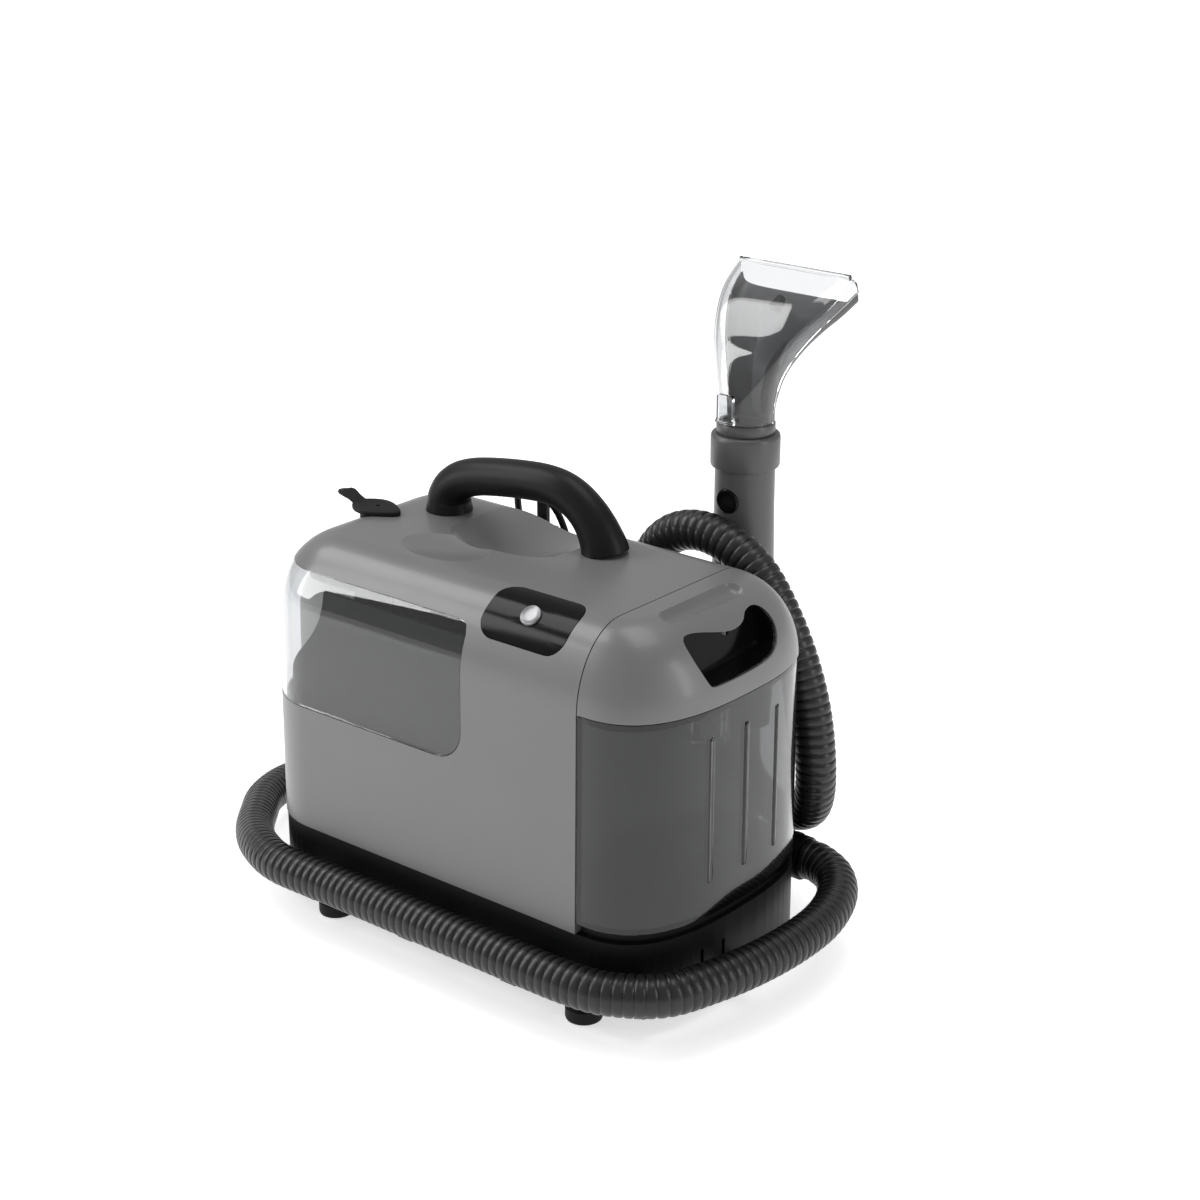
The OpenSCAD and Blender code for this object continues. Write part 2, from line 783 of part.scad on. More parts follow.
// boss on the back of the base that the hose plugs into
module hose_port() color("#161617") placed() {
    difference() {
        union() {
            translate([86, conn_y, conn_z]) rotate([0, 90, 0]) cylinder(h = 40, r = 17.6);
            box([86, foot_d - 1.4, conn_z - 17.6], [126, conn_y, conn_z + 17.6]);
        }
        translate([90, conn_y, conn_z]) rotate([0, 90, 0]) cylinder(h = 60, r = 14.5);
        translate([104, 90, conn_z]) rotate([-90, 0, 0]) cylinder(h = conn_y - 90, r = 11.5);
    }
}

module hose_cuff() color("#1a1a1b") placed() {
    translate([126.2, conn_y, conn_z]) rotate([0, 90, 0]) difference() {
        union() {
            translate([0, 0, -14]) cylinder(h = 14.2, r = 14.43);
            cylinder(h = conn_x - 126.2, r = 16.8);
            for (z = [13, 21]) translate([0, 0, z]) cylinder(h = 3, r = 17.6);
        }
        translate([0, 0, -15]) cylinder(h = conn_x - 110, r = 11);
    }
}

HOSE = [
    [160, 123.5, 52], [172, 123.5, 52], [192, 115, 50], [209, 93, 48], [219, 60, 46], [222, 20, 46],
    [219, -20, 46], [211, -58, 46], [197, -95, 46], [168, -117, 46], [136, -124, 46],
    [84, -125, 46], [30, -125, 46], [-30, -125, 46], [-90, -125, 46], [-146, -125, 45.6],
    [-184, -111, 43], [-216, -88, 38], [-243, -59, 34], [-266, -30, 30], [-282, 8, 25],
    [-284, 50, 19], [-270, 95, 16], [-236, 132, 16], [-190, 150, 16], [-140, 152, 22],
    [-94, 148, 44], [-54, 141, 92], [-26, 132, 160], [-4, 124, 226], [24, 121, 276],
    [62, 121, 291], [106, 121, 275], [138, 121, 234], [160, 121, 182], [167, 123, 128],
    [151, 140, 86], [113, 160, 68], [79, 164, 82], [68, 162, 114], [68, 162, 128]
];

LEAD = [
    [-30, 130, 86], [-30, 144, 88], [-35, 156, 97], [-47, 160, 118], [-61, 155, 148],
    [-71, 146, 180], [-78, 140, 212], [-83, 137, 244], [-88, 130, 270], [-95, 120, 287],
    [-107, 117, 294.5], [-119, 119, 288], [-127, 127, 270], [-129, 133.4, 250], [-126, 133.6, 222]
];

function spline_at(p, k, t) = let (
    n = len(p) - 1,
    a = p[max(k - 1, 0)], b = p[k], c = p[min(k + 1, n)], d = p[min(k + 2, n)]
) 0.5 * (2 * b + (c - a) * t + (2 * a - 5 * b + 4 * c - d) * t * t + (3 * b - a - 3 * c + d) * t * t * t);

// points along a route, m to each of its stretches
function route(p, m) = concat(
    [for (k = [0:len(p) - 2], t = [0:m - 1]) spline_at(p, k, t / m)], [p[len(p) - 1]]
);

function unit(v) = v / norm(v);

// a tube of n sides swept along points
module swept(points, r, n) {
    last = len(points) - 1;
    function ahead(k) = unit(points[min(k + 1, last)] - points[max(k - 1, 0)]);
    function side(k) = let (d = ahead(k)) abs(d[2]) > 0.9
        ? unit(cross(d, [0, 1, 0]))
        : unit(cross(d, [0, 0, 1]));
    sides = carried(points, side(0), last);
    rings = [for (k = [0:last]) let (u = sides[k], w = cross(ahead(k), u))
        for (s = [0:n - 1]) points[k] + r * (u * cos(360 * s / n) + w * sin(360 * s / n))];
    polyhedron(rings, concat(
        [[for (s = [0:n - 1]) s]],
        [[for (s = [0:n - 1]) last * n + n - 1 - s]],
        [for (k = [0:last - 1], s = [0:n - 1]) let (t = (s + 1) % n)
            [k * n + s, (k + 1) * n + s, (k + 1) * n + t, k * n + t]]
    ));
}

// carries the first side vector along the route without twisting it
function carried(points, first, last, k = 0) = let (
    d = unit(points[min(k + 1, last)] - points[max(k - 1, 0)]),
    u = unit(first - d * (first * d))
) k == last ? [u] : concat([u], carried(points, u, last, k + 1));

module suction_hose() color("#202022") placed() {
    swept(route(HOSE, 1), hose_d / 2, 12);
}

// ---- wand ----

module wand_cuff() color("#1a1a1b") placed() translate([wand_x, wand_y, 128]) {
    difference() {
        union() {
            cylinder(h = 24, r1 = 17.4, r2 = 19);
            translate([0, 0, 24 - e]) cylinder(h = 18, r = 18.4);
            for (z = [5, 12]) translate([0, 0, z]) cylinder(h = 3, r = 19);
        }
        translate([0, 0, -1]) cylinder(h = 60, r = 11);
    }
}

module wand() color("#58595b") placed() translate([wand_x, wand_y, 0]) {
    difference() {
        union() {
            translate([0, 0, 152.2]) cylinder(h = collar_z + 14 - 152.2, r = wand_d / 2);
            translate([0, 0, 152.2]) cylinder(h = 150, r1 = wand_d / 2 + 3, r2 = wand_d / 2);
            translate([0, 0, collar_z + 14 - e]) cylinder(h = 18, r = 18);
        }
        translate([0, 0, 150]) cylinder(h = 26, r = 18.5);
        translate([0, 0, 170]) cylinder(h = 210, r = 14);
        // bore of the trigger, and the pocket of its valve
        translate([0, 0, trigger_z]) rotate([90, 0, 0]) cylinder(h = 40, r = 8.2);
    }
}

module spray_trigger() color("#0d0d0e") placed() translate([wand_x, wand_y - wand_d / 2, trigger_z]) rotate([90, 0, 0]) {
    translate([0, 0, -5]) cylinder(h = 6, r = 8);
    translate([0, 0, 1 - e]) cylinder(h = 0.8, r1 = 8, r2 = 7);
}

module trigger_spring() color("silver") placed() translate([wand_x, wand_y - wand_d / 2 + 9.9, trigger_z])
    rotate([90, 0, 0]) coil_wire(4.4, 0.35, 4, 4.8);

module trigger_valve() color("#c0c0c0") placed() translate([wand_x, wand_y - wand_d / 2 + 10, trigger_z]) rotate([-90, 0, 0]) {
    cylinder(h = 6, r = 7);
    translate([0, 0, 3]) for (a = [0, 180]) rotate([0, a + 90, 0]) cylinder(h = 8.15, r = 2);
}

module lock_collar() color("#58595b") placed() translate([wand_x, wand_y, collar_z]) {
    difference() {
        rotate_extrude($fn = 96) polygon([
            [wand_d / 2 + 0.3, 0], [25, 0], [26, 1.5], [26, 9], [24.6, 11], [26, 13],
            [26, collar_h - 1.5], [25, collar_h], [18.3, collar_h],
            [18.3, 14.6], [wand_d / 2 + 0.3, 14.6]
        ]);
    }
}

module collar_seal() color("#101010") placed() translate([wand_x, wand_y, tool_z + 3])
    rotate_extrude() difference() {
        translate([18.02, 0]) square([1.4, 2]);
    }

// ---- tool ----

// side outline of the tool, from the wand to the mouth, t in from its clear front
FRONT = [[-22, 0], [-21, 20], [-16, 42], [-5, 64], [12, 84], [34, 101], [58, 114]];
BACK = [[66, 88], [50, 78], [36, 64], [26, 46], [22.5, 24], [22, 0]];

module tool_side(front, back) { polygon(concat(front, back)); }

function shifted(points, dy, dz) = [for (p = points) p + [dy, dz]];

module tool_front_view(i = 0) {
    w = mouth_w / 2 - i;
    n = wand_d / 2 - i;
    polygon([
        [-n, 0], [n, 0], [n, 22], [n + 3, 40], [n + 12, 66], [w - 6, 92], [w, 100], [w, 130],
        [-w, 130], [-w, 100], [-w + 6, 92], [-n - 12, 66], [-n - 3, 40], [-n, 22]
    ]);
}

// the tool's outer form between a front and a back line
module tool_form(front, back, i = 0) {
    intersection() {
        translate([-80, 0, 0]) rotate([90, 0, 90]) linear_extrude(160) tool_side(front, back);
        translate([0, 120, 0]) rotate([90, 0, 0]) linear_extrude(240) tool_front_view(i);
    }
}

module at_tool() { translate([wand_x, wand_y, tool_z + gap]) children(); }

module tool_body() color("#4e4f51") placed() at_tool() {
    difference() {
        tool_form(shifted(FRONT, 3, -1.2), BACK);
        tool_form(shifted(FRONT, 0, 1), shifted(BACK, -3, 3), 3);
        translate([0, 0, -5]) cylinder(h = 14, r = 18.2 + 1.3);
        translate([0, 0, -5]) cylinder(h = 24, r = 17);
        box([-90, -60, 111], [90, 40, 140]);
    }
}

module tool_window() color("#aab4b8", 0.4) placed() at_tool() {
    difference() {
        tool_form(FRONT, [for (k = [len(FRONT) - 1:-1:0]) FRONT[k] + [2.6, -1.4]]);
        box([-90, -60, -10], [90, 60, 16]);
    }
}

module window_latch() color("#8d9498") placed() at_tool() {
    translate([0, -24.4, 22]) rotate([90, 0, 0]) linear_extrude(3)
        offset(r = 2, $fn = 32) square([10, 18], center = true);
    translate([-8, -25.9, 12.8]) rotate([0, 90, 0]) cylinder(h = 16, r = 1.7);
}

module spray_nozzle() color("#1a1a1b") placed() at_tool() {
    translate([0, 34, 86]) rotate([-52, 0, 0]) cylinder(h = 10, r1 = 5, r2 = 3.4);
}

// ---- back of the machine ----

module wand_holder() color("#2a2a2c") placed() {
    difference() {
        union() {
            box([wand_x - 20, half_d + 0.6, 196], [wand_x + 20, wand_y - 12, 216]);
            translate([wand_x, wand_y, 196]) cylinder(h = 20, r = wand_d / 2 + 6);
        }
        translate([wand_x, wand_y, 190]) cylinder(h = 40, r = wand_d / 2 + 2.6);
        box([wand_x - 12, wand_y + 8, 190], [wand_x + 12, wand_y + 60, 230]);
    }
}

// the lead is wound round two hooks, and its last loop hangs over the top of the upper one
module upper_hook() color("#141414") placed() difference() {
    translate([hank_x, 0, 0]) {
        box([-6, 90, 224], [6, 131, 236]);
        box([-14, 130.2, 206], [14, 134, 258]);
        box([-5, 130.2, 250], [5, 134, 289]);
        box([-5, 112, 284], [5, 134, 289]);
    }
    housing_solid();
}

module lower_hook() color("#141414") placed() difference() {
    translate([hank_x, 0, 0]) {
        box([-6, 90, 156], [6, 131, 166]);
        box([-14, 130.2, 136], [14, 134, 182]);
    }
    housing_solid();
}

module strain_relief() color("#141414") placed() translate([-30, 106, 86]) rotate([-90, 0, 0]) {
    translate([0, 0, -7]) cylinder(h = 7 + e, r = 6);
    cylinder(h = 3, r = 8);
    translate([0, 0, 3 - e]) cylinder(h = 21, r1 = 5, r2 = 3.2);
}

module mains_lead() color("#121212") placed() swept(route(LEAD, 2), lead_d / 2, 8);

module lead_hank() color("#121212") placed() translate([hank_x, hank_y, 0]) rotate([90, 0, 0])
    linear_extrude(hank_w, center = true) difference() {
        hull() for (z = [hank_low, hank_high]) translate([0, z]) circle(r = hank_r, $fn = 32);
        hull() for (z = [hank_low, hank_high]) translate([0, z]) circle(r = hank_hole_r, $fn = 32);
    }

// plug that hangs below the hank, pins down
module mains_plug() color("#141414") placed() translate([lead_plug_x, lead_plug_y, 0]) {
    translate([0, 0, 112]) cylinder(h = 17.8, r1 = 5.4, r2 = 3.4);
    translate([0, 0, 90]) cylinder(h = 22 + e, r = 12);
    translate([0, 0, 84]) cylinder(h = 6 + e, r = 17);
}

module plug_pins() color("silver") placed() for (m = [-1, 1])
    translate([lead_plug_x + m * 9.5, lead_plug_y, 64.9]) cylinder(h = 19.1, r = 2.4);

base_pan();
rubber_feet();
foot_screws();
main_housing();
housing_screws();
control_panel();
power_button();
button_spring();
power_switch();
circuit_board();
carry_handle();
handle_screws();
clean_tank();
filler_neck();
filler_plug();
inner_frame();
tank_outlet();
water_pump();
pump_plunger();
water_tubes();
vacuum_motor();
motor_mounts();
fan_impeller();
fan_shroud();
suction_duct();
intake_duct();
dock_seals();
exhaust_grille();
dirty_tank();
tank_lid();
lid_gasket();
lid_grip();
float_cage();
shutoff_float();
inlet_spout();
hose_port();
hose_cuff();
suction_hose();
wand_cuff();
wand();
spray_trigger();
trigger_spring();
trigger_valve();
lock_collar();
collar_seal();
tool_body();
tool_window();
window_latch();
spray_nozzle();
wand_holder();
upper_hook();
lower_hook();
strain_relief();
mains_lead();
lead_hank();
mains_plug();
plug_pins();
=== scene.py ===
# %% [markdown]
# # A portable carpet cleaner, piece by piece
# The machine is a grey housing with a carry handle, a clean-water tank behind a clear
# window, a smoked dirty-water tank at the right end, a ribbed suction hose laid round the
# base, and a wand with an upholstery tool standing in a holder at the back.
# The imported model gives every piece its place, and each cell below gives one of them its
# finished shape or its finish.

# %% Load the frame
import json
import math

import bmesh
import bpy
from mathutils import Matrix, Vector
from mathutils.kdtree import KDTree


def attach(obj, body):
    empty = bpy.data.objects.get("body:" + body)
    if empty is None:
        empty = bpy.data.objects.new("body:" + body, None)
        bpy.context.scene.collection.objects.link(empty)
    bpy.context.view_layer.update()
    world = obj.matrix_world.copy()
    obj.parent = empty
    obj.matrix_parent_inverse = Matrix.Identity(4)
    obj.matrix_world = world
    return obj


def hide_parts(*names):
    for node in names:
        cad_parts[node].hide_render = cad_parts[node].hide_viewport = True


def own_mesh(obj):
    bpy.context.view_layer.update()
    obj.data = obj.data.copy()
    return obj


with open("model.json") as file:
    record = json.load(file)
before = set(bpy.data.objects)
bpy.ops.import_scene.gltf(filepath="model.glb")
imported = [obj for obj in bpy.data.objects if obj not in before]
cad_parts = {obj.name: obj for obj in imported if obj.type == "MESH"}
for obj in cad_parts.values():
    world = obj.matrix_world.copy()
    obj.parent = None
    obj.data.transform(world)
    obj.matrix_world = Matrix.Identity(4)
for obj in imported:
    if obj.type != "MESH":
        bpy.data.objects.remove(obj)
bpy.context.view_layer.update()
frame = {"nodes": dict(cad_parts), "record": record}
nodes = frame["nodes"]
MM = 0.001
SHIFT_X, SHIFT_Y = -12.75, -52.0


def at(x, y, z):
    """A point in millimetres from the middle of the body, on the floor, in metres."""
    return Vector(((x + SHIFT_X) * MM, (y + SHIFT_Y) * MM, z * MM))


# %% [markdown]
# ## Camera
# The machine is seen from its right front corner and a little above. A long lens keeps the
# upright edges nearly parallel, as in a product picture.

# %% Place the camera
camera = bpy.data.objects.new("camera", bpy.data.cameras.new("camera"))
bpy.context.scene.collection.objects.link(camera)
camera.location = at(1074.5, -1228.2, 878.9)
camera.rotation_euler = (math.radians(90 - 20.86), 0, math.radians(39.51))
camera.data.lens = 72.34
camera.data.sensor_width = 36
bpy.context.scene.camera = camera
print("camera at", [round(v, 3) for v in camera.location])

# %% [markdown]
# ## Lines that cords follow
# A hose and a lead are flexible, so each is one smooth line through listed points.
# A Catmull-Rom curve passes through every point, which makes it easy to lay a cord exactly
# over its hooks and round a corner.

# %% A smooth line through points
def smooth_line(points, steps):
    """Points on a Catmull-Rom curve, steps to each stretch."""
    line = []
    last = len(points) - 1
    for k in range(last):
        a, b = points[max(k - 1, 0)], points[k]
        c, d = points[k + 1], points[min(k + 2, last)]
        for s in range(steps):
            t = s / steps
            line.append(0.5 * (2 * b + (c - a) * t + (2 * a - 5 * b + 4 * c - d) * t * t
                               + (3 * b - a - 3 * c + d) * t ** 3))
    return line + [points[last].copy()]


def evenly(line, gap):
    """The same line with its points a fixed distance apart."""
    spaced = [line[0]]
    left = gap
    for a, b in zip(line, line[1:]):
        run = (b - a).length
        done = 0.0
        while run - done >= left:
            done += left
            spaced.append(a.lerp(b, done / run))
            left = gap
        left -= run - done
    return spaced


def frames_along(line):
    """A direction and two sideways vectors at each point, carried along without twisting."""
    frames = []
    side = None
    for k in range(len(line)):
        ahead = (line[min(k + 1, len(line) - 1)] - line[max(k - 1, 0)]).normalized()
        if side is None:
            side = ahead.cross(Vector((0, 1, 0) if abs(ahead.z) > 0.9 else (0, 0, 1)))
        side = (side - ahead * side.dot(ahead)).normalized()
        frames.append((ahead, side, ahead.cross(side)))
    return frames


HOSE_POINTS = [
    (160, 123.5, 52), (172, 123.5, 52), (192, 115, 50), (209, 93, 48), (219, 60, 46),
    (222, 20, 46), (219, -20, 46), (211, -58, 46), (197, -95, 46), (168, -117, 46), (136, -124, 46),
    (84, -125, 46), (30, -125, 46), (-30, -125, 46), (-90, -125, 46), (-146, -125, 45.6),
    (-184, -111, 43), (-216, -88, 38), (-243, -59, 34), (-266, -30, 30), (-282, 8, 25),
    (-284, 50, 19), (-270, 95, 16), (-236, 132, 16), (-190, 150, 16), (-140, 152, 22),
    (-94, 148, 44), (-54, 141, 92), (-26, 132, 160), (-4, 124, 226), (24, 121, 276),
    (62, 121, 291), (106, 121, 275), (138, 121, 234), (160, 121, 182), (167, 123, 128),
    (151, 140, 86), (113, 160, 68), (79, 164, 82), (68, 162, 114), (68, 162, 128)]
LEAD_POINTS = [
    (-30, 130, 86), (-30, 144, 88), (-35, 156, 97), (-47, 160, 118), (-61, 155, 148),
    (-71, 146, 180), (-78, 140, 212), (-83, 137, 244), (-88, 130, 270), (-95, 120, 287),
    (-107, 117, 294.5), (-119, 119, 288), (-127, 127, 270), (-129, 133.4, 250), (-126, 133.6, 222)]
hose_line = smooth_line([at(*p) for p in HOSE_POINTS], 24)

# %% [markdown]
# ## Suction hose
# A stretch hose is a thin wall wound over a spiral wire, so it is a row of soft ridges with
# narrow valleys. One profile of a ridge is repeated along the line: a tube of rings whose
# radius rises over each ridge and drops into each valley. Its valleys get painted shade: a
# darkening of their colour from an attribute that is written ring by ring.

# %% The ridged tube
HOSE_RADIUS = 0.01525
RIDGE_PITCH = 0.0069
RIDGE = [(0.00, 0.93), (0.07, 0.935), (0.13, 0.975), (0.28, 0.992), (0.52, 1.0), (0.76, 0.992), (0.90, 0.972), (0.95, 0.935)]


def ridged_tube(name, line, radius, pitch, ridge, sides):
    """A tube along the line with one ridge to each pitch. Returns the object."""
    dense = evenly(line, pitch / 40)
    count = int((len(dense) - 1) // 40)
    step = (len(dense) - 1) / (count * 40)
    rings, shade = [], []
    for k in range(count):
        for part, size in ridge:
            rings.append((dense[int((k + part) * 40 * step)], size))
            # Painted shade for the valleys: 0 at the bottom of a valley, 1 on a ridge top.
            shade.append((size - ridge[0][1]) / (1 - ridge[0][1]))
    rings.append((dense[-1], ridge[0][1]))
    shade.append(0.0)
    verts, faces, painted_valley_shade = [], [], []
    ways = frames_along([p for p, _ in rings])
    for (p, size), (ahead, u, w), value in zip(rings, ways, shade):
        for s in range(sides):
            a = 2 * math.pi * s / sides
            verts.append(p + (u * math.cos(a) + w * math.sin(a)) * radius * size)
            painted_valley_shade.append(value)
    for k in range(len(rings) - 1):
        for s in range(sides):
            t = (s + 1) % sides
            faces.append((k * sides + s, k * sides + t, (k + 1) * sides + t, (k + 1) * sides + s))
    faces.append(tuple(reversed(range(sides))))
    faces.append(tuple(range((len(rings) - 1) * sides, len(rings) * sides)))
    mesh = bpy.data.meshes.new(name)
    mesh.from_pydata(verts, [], faces)
    # This attribute carries the painted valley shade to the hose material.
    mesh.attributes.new("ridge", "FLOAT", "POINT").data.foreach_set("value", painted_valley_shade)
    piece = bpy.data.objects.new(name, mesh)
    bpy.context.scene.collection.objects.link(piece)
    mesh.polygons.foreach_set("use_smooth", [True] * len(mesh.polygons))
    return piece


hose = ridged_tube("suction_hose_ribbed", hose_line, HOSE_RADIUS, RIDGE_PITCH, RIDGE, 28)
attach(hose, "machine")
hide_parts("suction_hose")

# %% [markdown]
# ## Mains lead
# The lead leaves its rubber sleeve at the back, hangs behind the hose, goes over the upper
# hook and is then wound round the two hooks in a neat hank. The turns are computed: four
# columns side by side with four turns in each, and the last one drops to the plug.

# %% Wind the hank
LEAD_D = 5.5
HANK_X, HANK_Y, HANK_LOW, HANK_HIGH = -105.0, 118.5, 160.0, 232.0


def one_turn(column, row):
    """Points of one turn, down the left side, round the bottom, up and over the top."""
    y = HANK_Y + (1.5 - column) * LEAD_D
    r = 10.75 + row * LEAD_D
    turn = [(HANK_X - r, y, HANK_HIGH - 18), (HANK_X - r, y, HANK_LOW + 18)]
    turn += [(HANK_X - r * math.cos(a), y, HANK_LOW - r * math.sin(a))
             for a in [math.pi * k / 8 for k in range(9)]]
    turn += [(HANK_X + r, y, HANK_LOW + 30), (HANK_X + r, y, HANK_HIGH - 18)]
    turn += [(HANK_X + r * math.cos(a), y, HANK_HIGH + r * math.sin(a))
             for a in [math.pi * k / 8 for k in range(9)]]
    return turn


wound = list(LEAD_POINTS) + [(-130, 129.5, 200)]
for column in range(4):
    rows = range(3, -1, -1) if column % 2 == 0 else range(4)
    for row in rows:
        turn = one_turn(column, row)
        wound += turn[1:-1] if (column, row) == (0, 3) else turn[:-1]
wound += [(-132.25, 110.25, 190), (-132.25, 110.5, 158), (-132, 114, 146), (-131.2, 122, 136), (-131, 125.5, 130)]
lead_line = smooth_line([at(*p) for p in wound], 4)

# %% Make the lead from its line
curve = bpy.data.curves.new("mains_lead_wound", "CURVE")
curve.dimensions = "3D"
curve.bevel_depth = LEAD_D * MM / 2
curve.bevel_resolution = 3
curve.use_fill_caps = True
spline = curve.splines.new("POLY")
spline.points.add(len(lead_line) - 1)
for point, place in zip(spline.points, lead_line):
    point.co = (*place, 1)
lead = bpy.data.objects.new("mains_lead_wound", curve)
bpy.context.scene.collection.objects.link(lead)
bpy.ops.object.select_all(action="DESELECT")
lead.select_set(True)
bpy.context.view_layer.objects.active = lead
bpy.ops.object.convert(target="MESH")
lead = bpy.context.object
lead.name = "mains_lead_wound"
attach(lead, "machine")
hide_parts("mains_lead", "lead_hank")
print("lead runs from its sleeve to the plug")

# %% [markdown]
# ## Helpers for hand modelling
# Each rigid piece starts as a primitive. A circle is extruded again and again and each new
# ring is set on the next outline, which is how a moulded shell with changing sections is
# built by hand. Holes are cut with a second piece and a Boolean modifier.

# %% Select, place and apply
def only(piece):
    """Selects one object alone and makes it active."""
    bpy.ops.object.select_all(action="DESELECT")
    piece.select_set(True)
    bpy.context.view_layer.objects.active = piece


def add_modifier(piece, kind, **settings):
    """Adds a modifier, sets it and applies it."""
    only(piece)
    modifier = piece.modifiers.new(kind.title(), kind)
    for key, value in settings.items():
        setattr(modifier, key, value)
    bpy.ops.object.modifier_apply(modifier=modifier.name)


def combine(piece, tool, how, keep=False):
    """Cuts, joins or intersects a piece with a tool piece."""
    add_modifier(piece, "BOOLEAN", operation=how, object=tool, solver="EXACT")
    if not keep:
        bpy.data.objects.remove(tool)


def smooth(piece, angle=35):
    only(piece)
    bpy.ops.object.shade_smooth_by_angle(angle=math.radians(angle))


def tidy_normals(piece):
    only(piece)
    bpy.ops.object.mode_set(mode="EDIT")
    bpy.ops.mesh.select_all(action="SELECT")
    bpy.ops.mesh.remove_doubles(threshold=1e-6)
    bpy.ops.mesh.normals_make_consistent(inside=False)
    bpy.ops.object.mode_set(mode="OBJECT")


def copy_of(piece, name):
    twin = piece.copy()
    twin.data = piece.data.copy()
    twin.name = name
    bpy.context.scene.collection.objects.link(twin)
    return twin


# %% Extrude a circle through rings
def loft(name, rings):
    """A closed solid through rings of equal point count, in body millimetres."""
    placed_rings = [[at(*p) for p in ring] for ring in rings]
    bpy.ops.object.select_all(action="DESELECT")
    bpy.ops.mesh.primitive_circle_add(vertices=len(rings[0]), radius=1.0, fill_type="NGON")
    piece = bpy.context.object
    piece.name = name
    bpy.ops.object.mode_set(mode="EDIT")
    shape = bmesh.from_edit_mesh(piece.data)
    shape.verts.ensure_lookup_table()
    order = sorted(shape.verts, key=lambda v: math.atan2(v.co.x, v.co.y))
    for vert, place in zip(order, placed_rings[0]):
        vert.co = place
    for before, after in zip(placed_rings, placed_rings[1:]):
        bmesh.update_edit_mesh(piece.data)
        bpy.ops.mesh.extrude_region_move()
        shape = bmesh.from_edit_mesh(piece.data)
        tree = KDTree(len(before))
        for k, place in enumerate(before):
            tree.insert(place, k)
        tree.balance()
        for vert in [v for v in shape.verts if v.select]:
            vert.co = after[tree.find(vert.co)[1]]
    bmesh.update_edit_mesh(piece.data)
    bpy.ops.mesh.select_all(action="SELECT")
    bpy.ops.mesh.normals_make_consistent(inside=False)
    bpy.ops.object.mode_set(mode="OBJECT")
    return piece


def box_tool(name, low, high):
    """A plain box for cutting with."""
    bpy.ops.object.select_all(action="DESELECT")
    bpy.ops.mesh.primitive_cube_add(size=1)
    piece = bpy.context.object
    piece.name = name
    a, b = at(*low), at(*high)
    for vert in piece.data.vertices:
        vert.co = [(a[i] + b[i]) / 2 + vert.co[i] * (b[i] - a[i]) for i in range(3)]
    return piece


def round_tool(name, centre, radius, length, axis="Z", sides=64, far_radius=None):
    """A cylinder or cone that starts at a point and runs along an axis."""
    turn = {"Z": (0, 0, 0), "X": (0, math.pi / 2, 0), "Y": (-math.pi / 2, 0, 0)}[axis]
    way = {"Z": Vector((0, 0, 1)), "X": Vector((1, 0, 0)), "Y": Vector((0, 1, 0))}[axis]
    bpy.ops.object.select_all(action="DESELECT")
    bpy.ops.mesh.primitive_cone_add(
        vertices=sides, radius1=radius * MM, radius2=(far_radius or radius) * MM, depth=length * MM,
        location=at(*centre) + way * length * MM / 2, rotation=turn)
    piece = bpy.context.object
    piece.name = name
    bpy.ops.object.transform_apply(location=True, rotation=True, scale=True)
    return piece


# %% [markdown]
# ## Plastics
# Moulded plastic is never one flat colour: the tool that made it leaves a fine grain, the
# surface carries slow changes of gloss, and handling polishes it. Each finish is a Principled
# shader with a fine noise for the grain, a broad one for the gloss and a very slight change
# of shade.

# %% Moulded plastic
def moulded(name, colour, rough, spread=0.06, grain=1400.0, depth=0.05, shade=0.08, coat=0.0, shine=0.5):
    """An opaque moulded plastic with grain, uneven gloss and a slight change of shade."""
    mat = bpy.data.materials.new(name)
    mat.use_nodes = True
    tree = mat.node_tree
    shader = tree.nodes["Principled BSDF"]
    shader.inputs["Coat Weight"].default_value = coat
    shader.inputs["Coat Roughness"].default_value = 0.12
    shader.inputs["Specular IOR Level"].default_value = shine
    place = tree.nodes.new("ShaderNodeTexCoord")
    broad = tree.nodes.new("ShaderNodeTexNoise")
    broad.inputs["Scale"].default_value = 22.0
    broad.inputs["Detail"].default_value = 4.0
    tree.links.new(place.outputs["Object"], broad.inputs["Vector"])
    gloss = tree.nodes.new("ShaderNodeMapRange")
    gloss.inputs["To Min"].default_value = rough - spread
    gloss.inputs["To Max"].default_value = rough + spread
    tree.links.new(broad.outputs["Fac"], gloss.inputs["Value"])
    tree.links.new(gloss.outputs["Result"], shader.inputs["Roughness"])
    tone = tree.nodes.new("ShaderNodeValToRGB")
    tone.color_ramp.elements[0].position = 0.3
    tone.color_ramp.elements[1].position = 0.7
    tone.color_ramp.elements[0].color = [c * (1 - shade) for c in colour] + [1]
    tone.color_ramp.elements[1].color = [min(1, c * (1 + shade)) for c in colour] + [1]
    tree.links.new(broad.outputs["Fac"], tone.inputs["Fac"])
    tree.links.new(tone.outputs["Color"], shader.inputs["Base Color"])
    fine = tree.nodes.new("ShaderNodeTexNoise")
    fine.inputs["Scale"].default_value = grain
    fine.inputs["Detail"].default_value = 2.0
    tree.links.new(place.outputs["Object"], fine.inputs["Vector"])
    relief = tree.nodes.new("ShaderNodeBump")
    relief.inputs["Strength"].default_value = depth
    relief.inputs["Distance"].default_value = 0.0004
    tree.links.new(fine.outputs["Fac"], relief.inputs["Height"])
    tree.links.new(relief.outputs["Normal"], shader.inputs["Normal"])
    return mat


